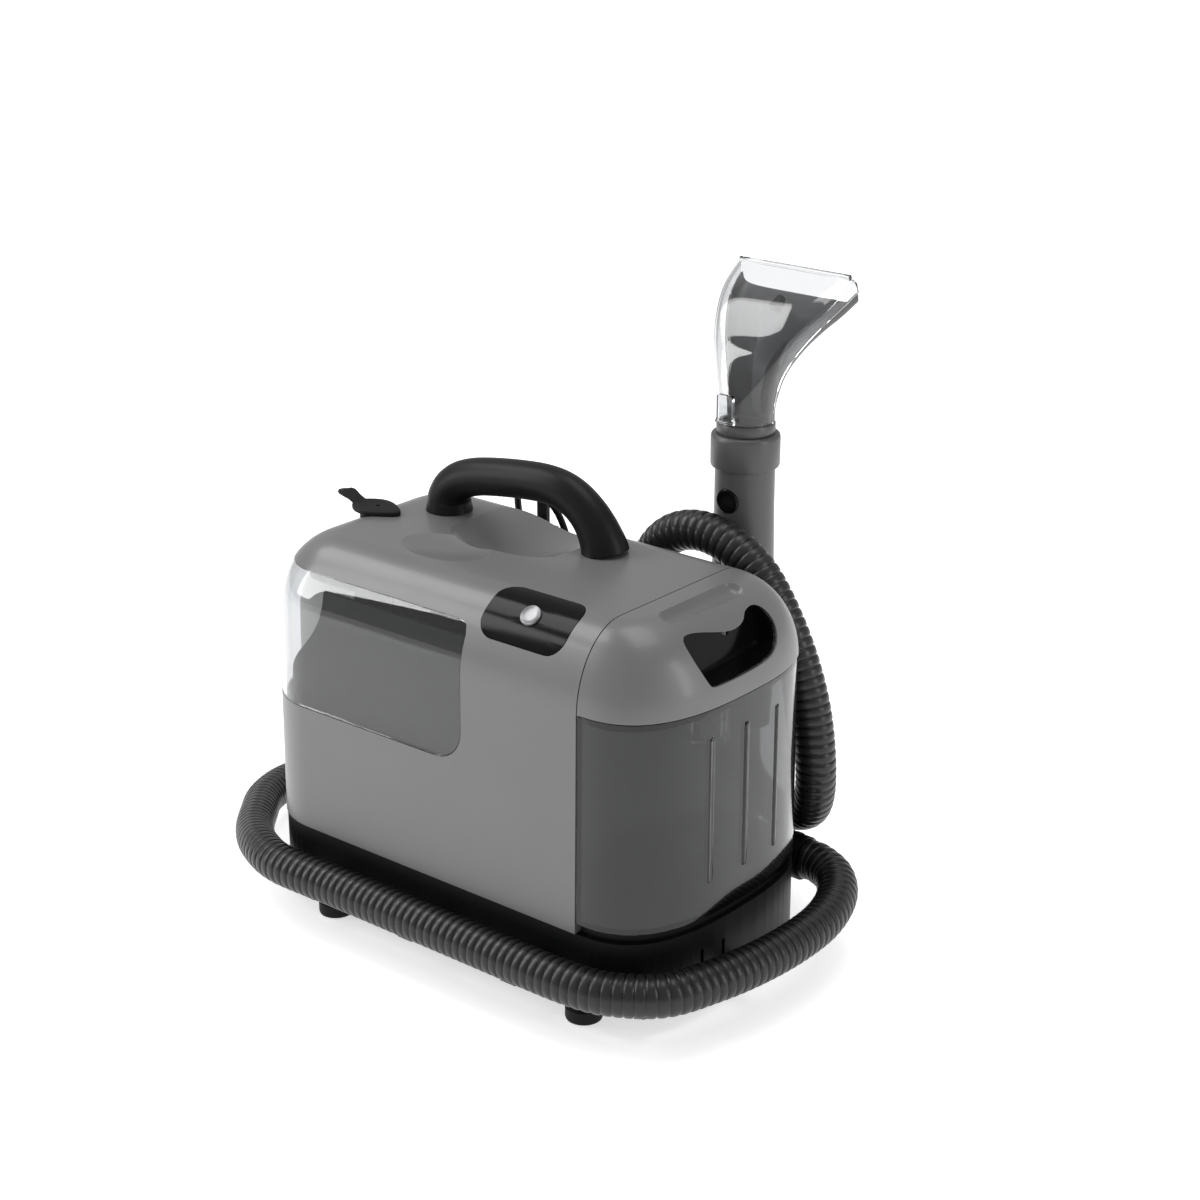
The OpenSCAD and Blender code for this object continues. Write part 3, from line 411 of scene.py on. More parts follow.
def clear_plastic(name, colour, rough, ior=1.49, wave=0.02):
    """A clear or smoked plastic wall that bends light, with the slight waviness of a moulding."""
    mat = bpy.data.materials.new(name)
    mat.use_nodes = True
    tree = mat.node_tree
    shader = tree.nodes["Principled BSDF"]
    shader.inputs["Base Color"].default_value = (*colour, 1)
    shader.inputs["Transmission Weight"].default_value = 1.0
    shader.inputs["IOR"].default_value = ior
    place = tree.nodes.new("ShaderNodeTexCoord")
    slow = tree.nodes.new("ShaderNodeTexNoise")
    slow.inputs["Scale"].default_value = 30.0
    slow.inputs["Detail"].default_value = 1.0
    tree.links.new(place.outputs["Object"], slow.inputs["Vector"])
    haze = tree.nodes.new("ShaderNodeMapRange")
    haze.inputs["To Min"].default_value = rough
    haze.inputs["To Max"].default_value = rough + 0.012
    tree.links.new(slow.outputs["Fac"], haze.inputs["Value"])
    tree.links.new(haze.outputs["Result"], shader.inputs["Roughness"])
    relief = tree.nodes.new("ShaderNodeBump")
    relief.inputs["Strength"].default_value = wave
    relief.inputs["Distance"].default_value = 0.002
    tree.links.new(slow.outputs["Fac"], relief.inputs["Height"])
    tree.links.new(relief.outputs["Normal"], shader.inputs["Normal"])
    return mat


def metal(name, colour, rough):
    mat = moulded(name, colour, rough, spread=0.05, grain=2500.0, depth=0.03)
    mat.node_tree.nodes["Principled BSDF"].inputs["Metallic"].default_value = 1.0
    return mat


def paint(piece, mat):
    """Gives a piece one material all over."""
    piece.data.materials.clear()
    piece.data.materials.append(mat)


grey_shell = moulded("satin_grey_shell", (0.135, 0.135, 0.138), 0.36, shade=0.03, depth=0.03, coat=0.12)
black_fine = moulded("fine_black_plastic", (0.005, 0.005, 0.0055), 0.4, depth=0.08, shine=0.14)
black_gloss = moulded("polished_black_plastic", (0.003, 0.003, 0.0035), 0.13, spread=0.03, depth=0.01, shine=0.12)
tool_grey = moulded("dark_grey_tool_plastic", (0.07, 0.07, 0.072), 0.38, shade=0.04, depth=0.04)
dark_inner = moulded("dark_inner_plastic", (0.026, 0.026, 0.027), 0.6, shade=0.04, depth=0.03, shine=0.3)
rubber = moulded("soft_black_rubber", (0.006, 0.006, 0.006), 0.6, depth=0.15, grain=900.0, shine=0.2)
white_part = moulded("white_inner_plastic", (0.6, 0.6, 0.58), 0.45)
board_green = moulded("circuit_board_green", (0.02, 0.12, 0.04), 0.4)
silver = metal("satin_silver", (0.34, 0.34, 0.35), 0.48)
dull_metal = metal("pressed_motor_metal", (0.45, 0.46, 0.47), 0.42)
clear_wall = clear_plastic("clear_tank_wall", (0.7, 0.71, 0.72), 0.0, wave=0.005)
smoked_wall = clear_plastic("smoked_tank_wall", (0.27, 0.275, 0.28), 0.04)
clear_tool = clear_plastic("clear_tool_wall", (0.84, 0.85, 0.86), 0.02)
print("finishes made:", len(bpy.data.materials))

# %% [markdown]
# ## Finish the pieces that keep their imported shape
# Screws, springs, ducts, motor and pump already have their true shape, so they only need a
# finish that suits the record's material slot.

# %% Paint the carried-over pieces by slot
SLOT_FINISH = {
    "housing_grey": grey_shell, "black_plastic": black_fine, "gloss_black": black_gloss,
    "clear_tank": clear_wall, "smoked_tank": smoked_wall, "tool_grey": tool_grey,
    "clear_tool": clear_tool, "rubber_black": rubber, "hose_black": black_fine,
    "lead_black": rubber, "silver_button": silver, "steel": silver, "motor_metal": dull_metal,
    "board_green": board_green, "white_plastic": white_part}
slot_of = {s["node"]: s["material_slot"] for s in frame["record"]["subparts"]}
for node_name, node in nodes.items():
    paint(node, SLOT_FINISH[slot_of[node_name]])
print("painted", len(nodes), "packed pieces")

# %% [markdown]
# ## Hose and lead finish
# The hose is black with painted shade in its valleys, read from the attribute written with its rings.

# %% Hose finish
hose_black = moulded("ribbed_hose_black", (0.012, 0.012, 0.013), 0.33, depth=0.03, shine=0.4)
tree = hose_black.node_tree
ridge_value = tree.nodes.new("ShaderNodeAttribute")
ridge_value.attribute_name = "ridge"
valley = tree.nodes.new("ShaderNodeMapRange")
valley.inputs["To Min"].default_value = 0.05
valley.inputs["To Max"].default_value = 1.0
tree.links.new(ridge_value.outputs["Fac"], valley.inputs["Value"])
# Painted shade: the valleys are multiplied down to a twentieth of the base colour, standing in for the shade in the
# grooves.
valley_shade_mix = tree.nodes.new("ShaderNodeMix")
valley_shade_mix.data_type = "RGBA"
valley_shade_mix.blend_type = "MULTIPLY"
valley_shade_mix.inputs["Factor"].default_value = 1.0
ramp = next(n for n in tree.nodes if n.type == "VALTORGB")
tree.links.new(ramp.outputs["Color"], valley_shade_mix.inputs[6])
tree.links.new(valley.outputs["Result"], valley_shade_mix.inputs[7])
tree.links.new(valley_shade_mix.outputs[2], tree.nodes["Principled BSDF"].inputs["Base Color"])
paint(hose, hose_black)
lead.data.materials.append(rubber)
print("hose and lead finished")

# %% [markdown]
# ## The body's form
# Housing, lid and dirty tank share one rounded form, cut at the seams. The form is described
# by its outline at each height: upright walls with a little draft, and above them a soft
# shoulder that is a quarter ellipse to all sides. A rounded left end and a squarer, bowed
# right end are part of the outline.

# %% Outlines of the body at each height
HALF_L, HALF_D, DRAFT, SEAM, TOP, SHOULDER = 192.5, 104.0, 3.0, 126.5, 294.0, 234.0
END_N = 2.7


def section(z, inset):
    """Half depth, left end, corner radius and length of the bowed end at one height."""
    if z <= SHOULDER:
        return (HALF_D + DRAFT * (1 - z / SHOULDER) - inset, HALF_L - inset, 56 - inset, 66 - inset)
    rise = min(1.0, (z - SHOULDER) / (60 - inset))
    c = math.sqrt(max(0.0, 1 - rise * rise))
    return (58 + (46 - inset) * c, 140.5 + (52 - inset) * c,
            14 + (42 - inset) * c, 16 + (50 - inset) * c)


def shoulder_levels(low, inset, upright=7, steps=16):
    """Heights of the rings, closer together where the shoulder turns."""
    walls = [low + (SHOULDER - low) * k / upright for k in range(upright)]
    return walls + [SHOULDER + (60 - inset) * math.sin(math.pi / 2 * k / steps) for k in range(steps + 1)]


def left_part(z, inset, seam=SEAM):
    """Outline from the seam round the left end and back to the seam."""
    half, end, r, _ = section(z, inset)
    points = [(seam + (-end + r - seam) * k / 14, half, z) for k in range(14)]
    points += [(-end + r - r * math.sin(a), half - r + r * math.cos(a), z)
               for a in [math.pi / 2 * k / 14 for k in range(15)]]
    points += [(-end, (half - r) * (1 - 2 * k / 8), z) for k in range(1, 8)]
    points += [(-end + r - r * math.cos(a), -half + r - r * math.sin(a), z)
               for a in [math.pi / 2 * k / 14 for k in range(15)]]
    points += [(-end + r + (seam + end - r) * k / 14, -half, z) for k in range(1, 15)]
    points += [(seam, -half + 2 * half * k / 12, z) for k in range(1, 12)]
    return points


def right_part(z, inset, seam=SEAM, steps=56):
    """Outline of the bowed right end, closed along the seam."""
    half, _, _, a_len = section(z, inset)
    points = []
    for k in range(steps + 1):
        a = math.pi * (k / steps - 0.5)
        x = SEAM + a_len * max(0.0, math.cos(a)) ** (2 / END_N)
        y = half * math.copysign(abs(math.sin(a)) ** (2 / END_N), math.sin(a))
        points.append((max(x, seam), y, z))
    points += [(seam, half - 2 * half * k / 14, z) for k in range(1, 14)]
    return points


print("levels of the shell:", [round(z) for z in shoulder_levels(73, 0)])

# %% [markdown]
# ## Main housing
# The real shell is one moulding, 3 mm thick, with a finger scoop across its top under the
# handle, a shallow dish on its front shoulder, a big window opening and a seat for the
# control panel. An outer and an inner form are made, the inner one is taken from the outer
# one, and the openings are cut through the wall that is left.

# %% The scoop, the dish and the window opening as cutting tools
def scoop_tool(more):
    """The hollow under the handle, rounded off at its front end."""
    bottom = [(-90, 295), (-84, 293.4), (-76, 290.5), (-67, 285), (-57, 279), (-47, 275.4), (-36, 274),
              (-25, 274.2), (-15, 276.2), (-5, 280), (4, 285.2), (11, 290), (17, 293.2), (24, 295)]
    rings = []
    for y, size, lift in [(-15, 0.25, 14), (-13.5, 0.55, 8), (-10.5, 0.78, 4), (-5, 0.92, 1.4), (4, 1, 0), (22, 1, 0),
                          (42, 1, 0), (62, 1, 0), (82, 1, 0), (150, 1, 0)]:
        ring = [(-33 + (x + 33) * size + math.copysign(more * 1.2, x + 33), y - more * 1.3,
                 min(z + lift, 296) - more * 1.7) for x, z in bottom]
        ring += [(ring[-1][0], y - more * 1.3, 330), (ring[0][0], y - more * 1.3, 330)]
        rings.append(ring)
    return loft("scoop_tool", rings)


def dish_tool(more):
    """The bottom of a long ball that leaves a shallow dish."""
    bpy.ops.mesh.primitive_uv_sphere_add(segments=96, ring_count=64, radius=1, location=at(-56, -32, 311.6))
    ball = bpy.context.object
    ball.scale = ((60 + more) * MM, (38 + more) * MM, (23 + more) * MM)
    bpy.ops.object.transform_apply(location=True, rotation=True, scale=True)
    return ball


def window_tool(gap):
    """The window's outline run through the front and the left end."""
    right, low, top = 22 - gap, 170 + gap, 274 - gap
    outline = [(-230, top), (-230, low)] + [(-230 + (right + 205) * k / 10, low) for k in range(1, 10)]
    outline += [(right - 25 + 25 * math.sin(a), low + 25 - 25 * math.cos(a))
                for a in [math.pi / 2 * k / 10 for k in range(11)]]
    outline += [(right, top - 8), (right - 2.3, top - 2.3), (right - 8, top)]
    return loft("window_tool", [[(x, y, z) for x, z in outline] for y in (14 - gap, -150)])


def panel_tool(gap):
    """The control panel's rounded outline, square to the shoulder it lies on."""
    lean = math.radians(37)
    rings = []
    for depth in (-12, 34):
        ring = []
        for cx, cy, start in [(1, 1, 0), (-1, 1, 90), (-1, -1, 180), (1, -1, 270)]:
            for k in range(9):
                a = math.radians(start + 90 * k / 8)
                u = cx * (38 - 14 - gap) + (14) * math.cos(a)
                v = cy * (23 - 14 - gap) + (14) * math.sin(a)
                ring.append((67.5 + u, -81 + v * math.cos(lean) - depth * math.sin(lean),
                             286 + v * math.sin(lean) + depth * math.cos(lean)))
        rings.append(ring)
    return loft("panel_tool", rings)


def body_core(name, outline, low, inset, seam=SEAM, end_low=None):
    """A solid between a low level and the top."""
    levels = shoulder_levels(low, inset)
    return loft(name, [outline(z, inset, seam) for z in levels])


housing = body_core("housing_shell", left_part, 73, 0)
inside = body_core("housing_inside", left_part, 70, 3, seam=SEAM - 3)
combine(inside, scoop_tool(5), "DIFFERENCE")
combine(inside, dish_tool(3), "DIFFERENCE")
combine(housing, inside, "DIFFERENCE")
combine(housing, scoop_tool(0), "DIFFERENCE")
combine(housing, dish_tool(0), "DIFFERENCE")
combine(housing, window_tool(0), "DIFFERENCE")
combine(housing, panel_tool(0), "DIFFERENCE")
combine(housing, round_tool("filler_hole", (-156, -4, 240), 13, 80), "DIFFERENCE")
combine(housing, box_tool("exhaust_hole", (-64, 90, 100), (-16, 120, 140)), "DIFFERENCE")
for port_y, port_z in ((12, 262), (66, 205)):
    combine(housing, round_tool("port_hole", (115, port_y, port_z), 15, 30, "X"), "DIFFERENCE")
for screw_x in (-120, -75, 30, 76):
    combine(housing, round_tool("screw_hole", (screw_x, 98, 87), 2.1, 20, "Y", 24), "DIFFERENCE")
combine(housing, round_tool("lead_hole", (-30, 96, 86), 6.2, 20, "Y", 32), "DIFFERENCE")
smooth(housing, 30)
add_modifier(housing, "WEIGHTED_NORMAL", keep_sharp=True, weight=100)
paint(housing, grey_shell)
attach(housing, "machine")
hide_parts("main_housing")
print("housing faces:", len(housing.data.polygons))

# %% [markdown]
# ## Clear window of the clean tank
# The window is the front and left wall of the clean-water tank. It lies flush in the
# housing's opening, so it is cut from the same form with a small gap all round.

# %% Window
window = body_core("clean_tank_window", left_part, 100, 0.3)
window_inside = body_core("window_inside", left_part, 90, 3.1, seam=SEAM - 2)
combine(window, window_inside, "DIFFERENCE")
combine(window, window_tool(0.5), "INTERSECT")
smooth(window, 30)
paint(window, clear_wall)
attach(window, "machine")
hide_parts("clean_tank")
print("window faces:", len(window.data.polygons))

# %% [markdown]
# ## Dirty tank
# The smoked tank is the bowed right end of the body. Three upright ribs stiffen its wall;
# each is a rod with rounded ends sunk half into it.

# %% Dirty tank
def wall_levels(low, high, count=8):
    return [low + (high - low) * k / count for k in range(count + 1)]


tank = loft("dirty_tank_shell", [right_part(z, 0.5, SEAM + 0.9) for z in wall_levels(81, 235.7)])
tank_inside = loft("tank_inside", [right_part(z, 3.3, SEAM + 3.9) for z in wall_levels(84, 246)])
for rib_y, back in ((-37, 1.7), (0, 0), (37, 1.7)):
    rib_x = HALF_L - 2.6 - back
    rod = round_tool("rib", (rib_x, rib_y, 105), 3.6, 111, "Z", 24)
    only(rod)
    add_modifier(rod, "BEVEL", width=3.3 * MM, segments=5, limit_method="ANGLE", angle_limit=math.radians(60))
    combine(tank, rod, "UNION")
combine(tank, tank_inside, "DIFFERENCE")
combine(tank, round_tool("tank_port", (115, 66, 205), 14, 30, "X"), "DIFFERENCE")
smooth(tank, 32)
paint(tank, smoked_wall)
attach(tank, "dirty_tank")
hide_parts("dirty_tank")
print("tank faces:", len(tank.data.polygons))

# %% [markdown]
# ## Lid
# The lid carries on the housing's shoulder round the right end. It has a long finger slot
# on top and, in the bowed end, a black hand-hold whose upper edge swells into a thumb rest.

# %% Lid
lid = loft("tank_lid_shell", [right_part(z, 0, SEAM + 0.9) for z in
                              wall_levels(236.6, 236.7, 1) + [s for s in shoulder_levels(73, 0) if s > 237]])
lid_inside = loft("lid_inside", [right_part(z, 3, SEAM + 3.4) for z in
                                 [230] + [s for s in shoulder_levels(73, 3) if s > 237]])
hold = [(-40, 284.2), (-44, 281.5), (-45, 276), (-44, 268), (-41, 259.5), (-38, 253.5), (-34, 250.6), (-20, 250.2),
        (0, 250.4), (18, 251.2), (31, 253), (40, 257), (45.5, 264), (47.5, 271), (45.5, 278), (41, 282.3), (35, 284.2),
        (28, 284), (23, 282.8), (17, 280), (11, 278.4), (3, 277.8), (-5, 278.6), (-13, 280.2), (-22, 282.2), (-32, 284)]
hold_line = smooth_line([Vector((0, y, z)) for y, z in hold + hold[:1]], 3)[:-1]


def hold_depth(z):
    """The hand-hold's back wall leans inward toward its top."""
    return 168 - 7.5 * min(1.0, max(0.0, (z - 263) / 17))


pocket = loft("hand_hold_tool", [[(hold_depth(p.z), p.y, p.z) for p in hold_line], [(225, p.y, p.z) for p in hold_line]])
liner_block = loft("hand_hold_wall", [[(hold_depth(p.z) - 2.5, p.y * 1.07, 265 + (p.z - 265) * 1.12) for p in hold_line],
                                      [(225, p.y * 1.07, 265 + (p.z - 265) * 1.12) for p in hold_line]])
liner_form = loft("lid_form", [right_part(z, 1.2, SEAM + 0.6) for z in
                               [236.4] + [s for s in shoulder_levels(73, 1.2) if s > 237]])
combine(liner_block, copy_of(liner_form, "liner_form_copy"), "INTERSECT")
combine(lid, lid_inside, "DIFFERENCE")
combine(lid, pocket, "DIFFERENCE", keep=True)
SLOT_X, SLOT_FALL = 152, 0.24


def slot_ring(half_width, rise):
    """A long rounded outline that leans with the shoulder it lies in."""
    ring = []
    for a in [2 * math.pi * (k + 0.5) / 40 for k in range(40)]:
        x = half_width * math.cos(a)
        end_y = 34 if math.sin(a) > 0 else -34
        ring.append((SLOT_X + x, end_y + half_width * math.sin(a), 292.9 + rise - SLOT_FALL * x))
    return ring


slot_tool = loft("slot_tool", [slot_ring(w, dz) for w, dz in (
    (2.0, -5.3), (3.6, -5.1), (5.2, -4.5), (6.6, -3.5), (7.8, -2.1), (8.7, -0.8), (9.8, 0.3), (11.4, 1.2), (13, 4))])
slot_floor = loft("slot_floor", [slot_ring(12, dz) for dz in (-8.5, 2)])
combine(slot_floor, copy_of(liner_form, "slot_floor_form"), "INTERSECT")
combine(lid, slot_floor, "UNION")
combine(lid, slot_tool, "DIFFERENCE")
bpy.data.objects.remove(liner_form)
combine(lid, round_tool("lid_port", (115, 12, 262), 14, 25, "X"), "DIFFERENCE")
smooth(lid, 32)
add_modifier(lid, "WEIGHTED_NORMAL", keep_sharp=True, weight=100)
paint(lid, grey_shell)
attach(lid, "tank_lid")
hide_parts("tank_lid")
combine(liner_block, pocket, "DIFFERENCE")
smooth(liner_block, 40)
paint(liner_block, black_gloss)
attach(liner_block, "tank_lid")
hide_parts("lid_grip")
print("lid faces:", len(lid.data.polygons), "liner faces:", len(liner_block.data.polygons))

# %% [markdown]
# ## Carry handle
# The grip is an uneven arch: its left leg leans in low, its right leg comes down steeply, and
# both legs swell into a foot. A circle is extruded along the arch, with the size of each ring
# computed from its height, so the legs thicken smoothly.

# %% Handle
HANDLE_POINTS = [(-113, 300), (-112.5, 305), (-108, 313), (-98, 320.5), (-82, 326), (-60, 330), (-36, 333),
                 (-16, 334.2), (0, 332.5), (13, 327.5), (24, 319.5), (32, 310), (37.5, 300)]
arch = smooth_line([Vector((x, 33, z)) for x, z in HANDLE_POINTS], 5)
arch = [Vector((-113, 33, 294.1)), Vector((-113, 33, 297))] + arch + [Vector((38.6, 33, 297)), Vector((39.2, 33, 294.1))]


def grip_radius(p):
    """Radius of the grip at a point, wider near its feet."""
    low = max(0.0, 1 - (p.z - 294) / 34)
    return 14.3 + 3.6 * low ** 1.7


rings = []
for p, (ahead, u, w) in zip(arch, frames_along(arch)):
    r = grip_radius(p)
    rings.append([p + (u * math.cos(a) + w * math.sin(a)) * r
                  for a in [2 * math.pi * k / 40 for k in range(40)]])
handle = loft("carry_handle_grip", rings)
smooth(handle, 50)
grip_black = moulded("soft_grip_black", (0.006, 0.006, 0.0065), 0.4, grain=1100.0, depth=0.12, shine=0.17)
paint(handle, grip_black)
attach(handle, "machine")
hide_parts("carry_handle")
print("handle faces:", len(handle.data.polygons))

# %% [markdown]
# ## Control panel and button
# The panel is a polished black insert that continues the shoulder's curve, so it is cut from
# the same form a quarter of a millimetre larger. The button is a turned disc with a dished
# face and a fine rim.

# %% Panel and button
panel = loft("control_panel_insert", [left_part(z, -0.25) for z in shoulder_levels(180, -0.25)])
panel_inside = loft("panel_inside", [left_part(z, 2.4, SEAM - 3) for z in shoulder_levels(170, 2.4)])
combine(panel, panel_inside, "DIFFERENCE")
combine(panel, panel_tool(0.35), "INTERSECT")
LEAN = math.radians(37)
OUT = Vector((0, -math.sin(LEAN), math.cos(LEAN)))


def turned(name, profile, centre, way, sides=64):
    """A solid turned about an axis through a point, from radius and height pairs."""
    across = Vector((1, 0, 0)) if abs(way.x) < 0.9 else Vector((0, 1, 0))
    across = (across - way * across.dot(way)).normalized()
    other = way.cross(across)
    middle = Vector(centre)
    return loft(name, [[middle + way * h + (across * math.cos(a) + other * math.sin(a)) * max(r, 0.01)
                        for a in [2 * math.pi * k / sides for k in range(sides)]] for r, h in profile])


combine(panel, turned("button_hole", [(8.2, -20), (8.2, 20)], (68, -81, 286), OUT), "DIFFERENCE")
smooth(panel, 30)
paint(panel, black_gloss)
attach(panel, "machine")
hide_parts("control_panel")
button = turned("power_button_disc", [(3, -6), (3, -4), (7.5, -4), (7.8, -3.6), (7.8, 1.4), (7.5, 2.0), (7.1, 2.25),
                                      (6.7, 2.1), (6.3, 1.7), (4.0, 1.35), (2.0, 1.2), (0.2, 1.15)], (68, -81, 286), OUT)
smooth(button, 40)
paint(button, silver)
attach(button, "power_button")
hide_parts("power_button")
print("panel faces:", len(panel.data.polygons))

# %% [markdown]
# ## Filler plug
# The rubber plug is a leaf-shaped flap over the filler hole. Its pointed end is the strap it
# bends about, and a tab stands up at its left end to pull it open.

# %% Filler plug
def flap_ring(z, inset):
    points = []
    for k in range(48):
        a = 2 * math.pi * k / 48
        c, s = math.cos(a), math.sin(a)
        length = 26 if c > 0 else 20
        x = -156 + (length - inset) * math.copysign(abs(c) ** 1.0, c)
        narrow = 1 - 0.42 * max(0.0, c) ** 1.5 - 0.25 * max(0.0, -c) ** 2
        points.append((x, -4 + (15.5 - inset) * s * narrow, z))
    return points


flap = loft("filler_plug_flap", [flap_ring(z, i) for z, i in
                                 ((294.25, 0.8), (294.7, 0.1), (296.4, 0.0), (297.3, 0.5), (297.8, 1.6), (298.1, 3.6))])
tab = loft("plug_tab", [
    [(-170 - 16.5 * t + (0 if c > 0 else 6 * c * t), -4 + w * s, 296.2 + 7.2 * t ** 0.8 + h * c)
     for c, s in [(math.cos(a), math.sin(a)) for a in [2 * math.pi * k / 24 for k in range(24)]]]
    for t, w, h in ((0, 7.5, 1.6), (0.15, 6.6, 1.7), (0.4, 6.4, 1.6), (0.65, 7.6, 1.5), (0.85, 8.0, 1.4), (0.96, 6.8, 1.1), (1.0, 4.5, 0.6))])
combine(flap, tab, "UNION")
dimple = turned("plug_dimple", [(1.6, -1.2), (1.9, 2)], (-152, -4, 298), Vector((0, 0, 1)), 24)
combine(flap, dimple, "DIFFERENCE")
stopper = turned("plug_stopper", [(7.2, 291.4), (7.8, 292), (8.0, 294.4)], (-156, -4, 0), Vector((0, 0, 1)), 40)
combine(flap, stopper, "UNION")
smooth(flap, 40)
paint(flap, rubber)
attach(flap, "filler_plug")
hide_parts("filler_plug")
print("plug faces:", len(flap.data.polygons))

# %% [markdown]
# ## Upholstery tool
# The tool grows from a round neck into a wide flat mouth and leans back. Its outline is a
# rounded shape at every height, round at the neck and nearly a rectangle at the mouth. One
# thin shell is made from an outer and an inner form and split along its sides: the front half
# is the clear window, the back half the dark body.

# %% Tool sections
TOOL_FRONT = [(-22, 0), (-21, 20), (-16, 42), (-5, 64), (12, 84), (34, 101), (58, 114)]
TOOL_BACK = [(22, 0), (22.5, 22), (25, 42), (33, 59), (44, 72), (55, 81), (66, 88)]
TOOL_HALF = [22, 22.4, 26, 34, 43, 50.5, 54]
WAND_X, WAND_Y, TOOL_Z = 68.0, 162.0, 360.4


def along(values, steps=5):
    return smooth_line([Vector((*v, 0)) if isinstance(v, tuple) else Vector((v, 0, 0)) for v in values], steps)


def tool_form(name, inset, spread=1.0, extend=0.0, steps=5):
    """A solid through the tool's rounded sections, inset inside its outer face."""
    fronts, backs, halves = along(TOOL_FRONT, steps), along(TOOL_BACK, steps), along(TOOL_HALF, steps)
    rings = []
    for k, (f, b, h) in enumerate(zip(fronts, backs, halves)):
        t = k / (len(fronts) - 1)
        power = 2 / (2 + 3.2 * min(1.0, max(0.0, (t - 0.15) / 0.6)))
        middle, reach = (f + b) / 2, (b - f) / 2
        deep = reach.length - inset
        way = reach.normalized()
        half = h.x - inset
        ring = []
        for a in [2 * math.pi * (s + 0.5) / 56 for s in range(56)]:
            u = math.copysign(abs(math.cos(a)) ** power, math.cos(a)) * half
            v = math.copysign(abs(math.sin(a)) ** power, math.sin(a)) * deep
            p = middle + way * v
            ring.append(Vector((WAND_X + u, WAND_Y + p.x, TOOL_Z + p.y)))
        rings.append(ring)
    if extend:
        for end, inner in ((0, 1), (-1, -2)):
            mid_a = sum(rings[end], Vector()) / 56
            mid_b = sum(rings[inner], Vector()) / 56
            push = (mid_a - mid_b).normalized() * extend
            rings.insert(0 if end == 0 else len(rings), [p + push for p in rings[end]])
    return loft(name, rings)


def tool_split(name, share, gap):
    """A wedge that holds the front share of the tool."""
    fronts, backs = along(TOOL_FRONT, 2), along(TOOL_BACK, 2)
    rings = []
    for k, (f, b) in enumerate(zip(fronts, backs)):
        t = k / (len(fronts) - 1)
        way = (b - f).normalized()
        near = f - way * 25
        far = f + (b - f) * (share - 0.1 * t) + way * gap
        rings.append([Vector((WAND_X + x, WAND_Y + p.x, TOOL_Z + p.y))
                      for x, p in ((-80, near), (80, near), (80, far), (-80, far))])
    for end, inner in ((0, 1), (-1, -2)):
        push = [(p - q).normalized() * 20 for p, q in zip(rings[end], rings[inner])]
        rings.insert(0 if end == 0 else len(rings), [p + d for p, d in zip(rings[end], push)])
    return loft(name, rings)


# %% Window and body of the tool
tool_back = tool_form("tool_body_shell", 0.9)
combine(tool_back, tool_form("tool_hollow", 3.2, extend=6), "DIFFERENCE")
combine(tool_back, tool_split("tool_cut", 0.62, 0.0), "DIFFERENCE")
neck = turned("tool_neck", [(18.4, 0), (21.6, 0), (22.0, 0.8), (22.0, 7), (21.4, 8), (18.4, 8)],
              (WAND_X, WAND_Y, TOOL_Z), Vector((0, 0, 1)))
combine(neck, round_tool("neck_bore", (WAND_X, WAND_Y, TOOL_Z - 2), 18.4, 14), "DIFFERENCE")
combine(tool_back, neck, "UNION")
spine = loft("tool_spine", [
    [Vector((WAND_X + x * w, WAND_Y + y0 + dy, TOOL_Z + z0)) for x, dy in ((-1, 0), (1, 0), (0.7, -d), (-0.7, -d))]
    for y0, z0, w, d in ((20.6, 12, 5, 7), (21.0, 26, 6, 9), (24.6, 46, 9, 8), (33.5, 63, 15, 6), (46, 77, 24, 4), (57, 86, 34, 2.5))])
combine(tool_back, spine, "UNION")
smooth(tool_back, 38)
paint(tool_back, tool_grey)
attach(tool_back, "tool")
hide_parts("tool_body")
tool_front = tool_form("tool_window_shell", 0.0)
combine(tool_front, tool_form("window_hollow", 2.1, extend=6), "DIFFERENCE")
combine(tool_front, tool_split("window_cut", 0.62, -0.25), "INTERSECT")
combine(tool_front, box_tool("neck_cut", (20, 100, 350), (120, 190, TOOL_Z + 9)), "DIFFERENCE")
lip = loft("mouth_lip", [
    [Vector((WAND_X + u, WAND_Y + 57.2 + dy, TOOL_Z + 112.6 + dz)) for dy, dz in ((-3.2, 0.4), (-1.6, -2.6), (1.6, -1.4), (0.2, 1.6))]
    for u in (-50, 50)])
combine(tool_front, lip, "UNION")
smooth(tool_front, 38)
paint(tool_front, clear_tool)
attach(tool_front, "tool_window")
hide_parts("tool_window")
print("tool faces:", len(tool_back.data.polygons), len(tool_front.data.polygons))

# %% [markdown]
# ## Wand, collar and trigger
# The wand is a turned tube that swells a little toward its foot. The collar is a plain band
# with soft edges. The trigger is a polished black disc in a hole in the front of the wand.

# %% Wand, collar and trigger
UP = Vector((0, 0, 1))
wand = turned("wand_tube", [(25.2, 152.3), (25.4, 153), (22.6, 300), (22.5, 347.8), (18, 348), (18, 365.8)],
              (WAND_X, WAND_Y, 0), UP)
combine(wand, turned("wand_bore", [(18.5, 150), (18.5, 175.8), (14, 176), (14, 380)], (WAND_X, WAND_Y, 0), UP), "DIFFERENCE")
combine(wand, round_tool("trigger_hole", (WAND_X, WAND_Y - 30, 311), 9.7, 24, "Y", 48), "DIFFERENCE")
smooth(wand, 35)
paint(wand, tool_grey)
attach(wand, "machine")
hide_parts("wand")
collar = turned("lock_collar_band", [(22.9, 334.1), (24.4, 334.1), (25.5, 334.8), (26, 336.4), (26, 356.6), (25.5, 358.6),
                                     (24.3, 359.7), (22.6, 360), (18.4, 360)], (WAND_X, WAND_Y, 0), UP, 96)
combine(collar, turned("collar_bore", [(22.8, 330), (22.8, 348.6), (18.3, 348.8), (18.3, 365)],
                       (WAND_X, WAND_Y, 0), UP, 96), "DIFFERENCE")
smooth(collar, 40)
paint(collar, tool_grey)
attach(collar, "lock_collar")
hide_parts("lock_collar")
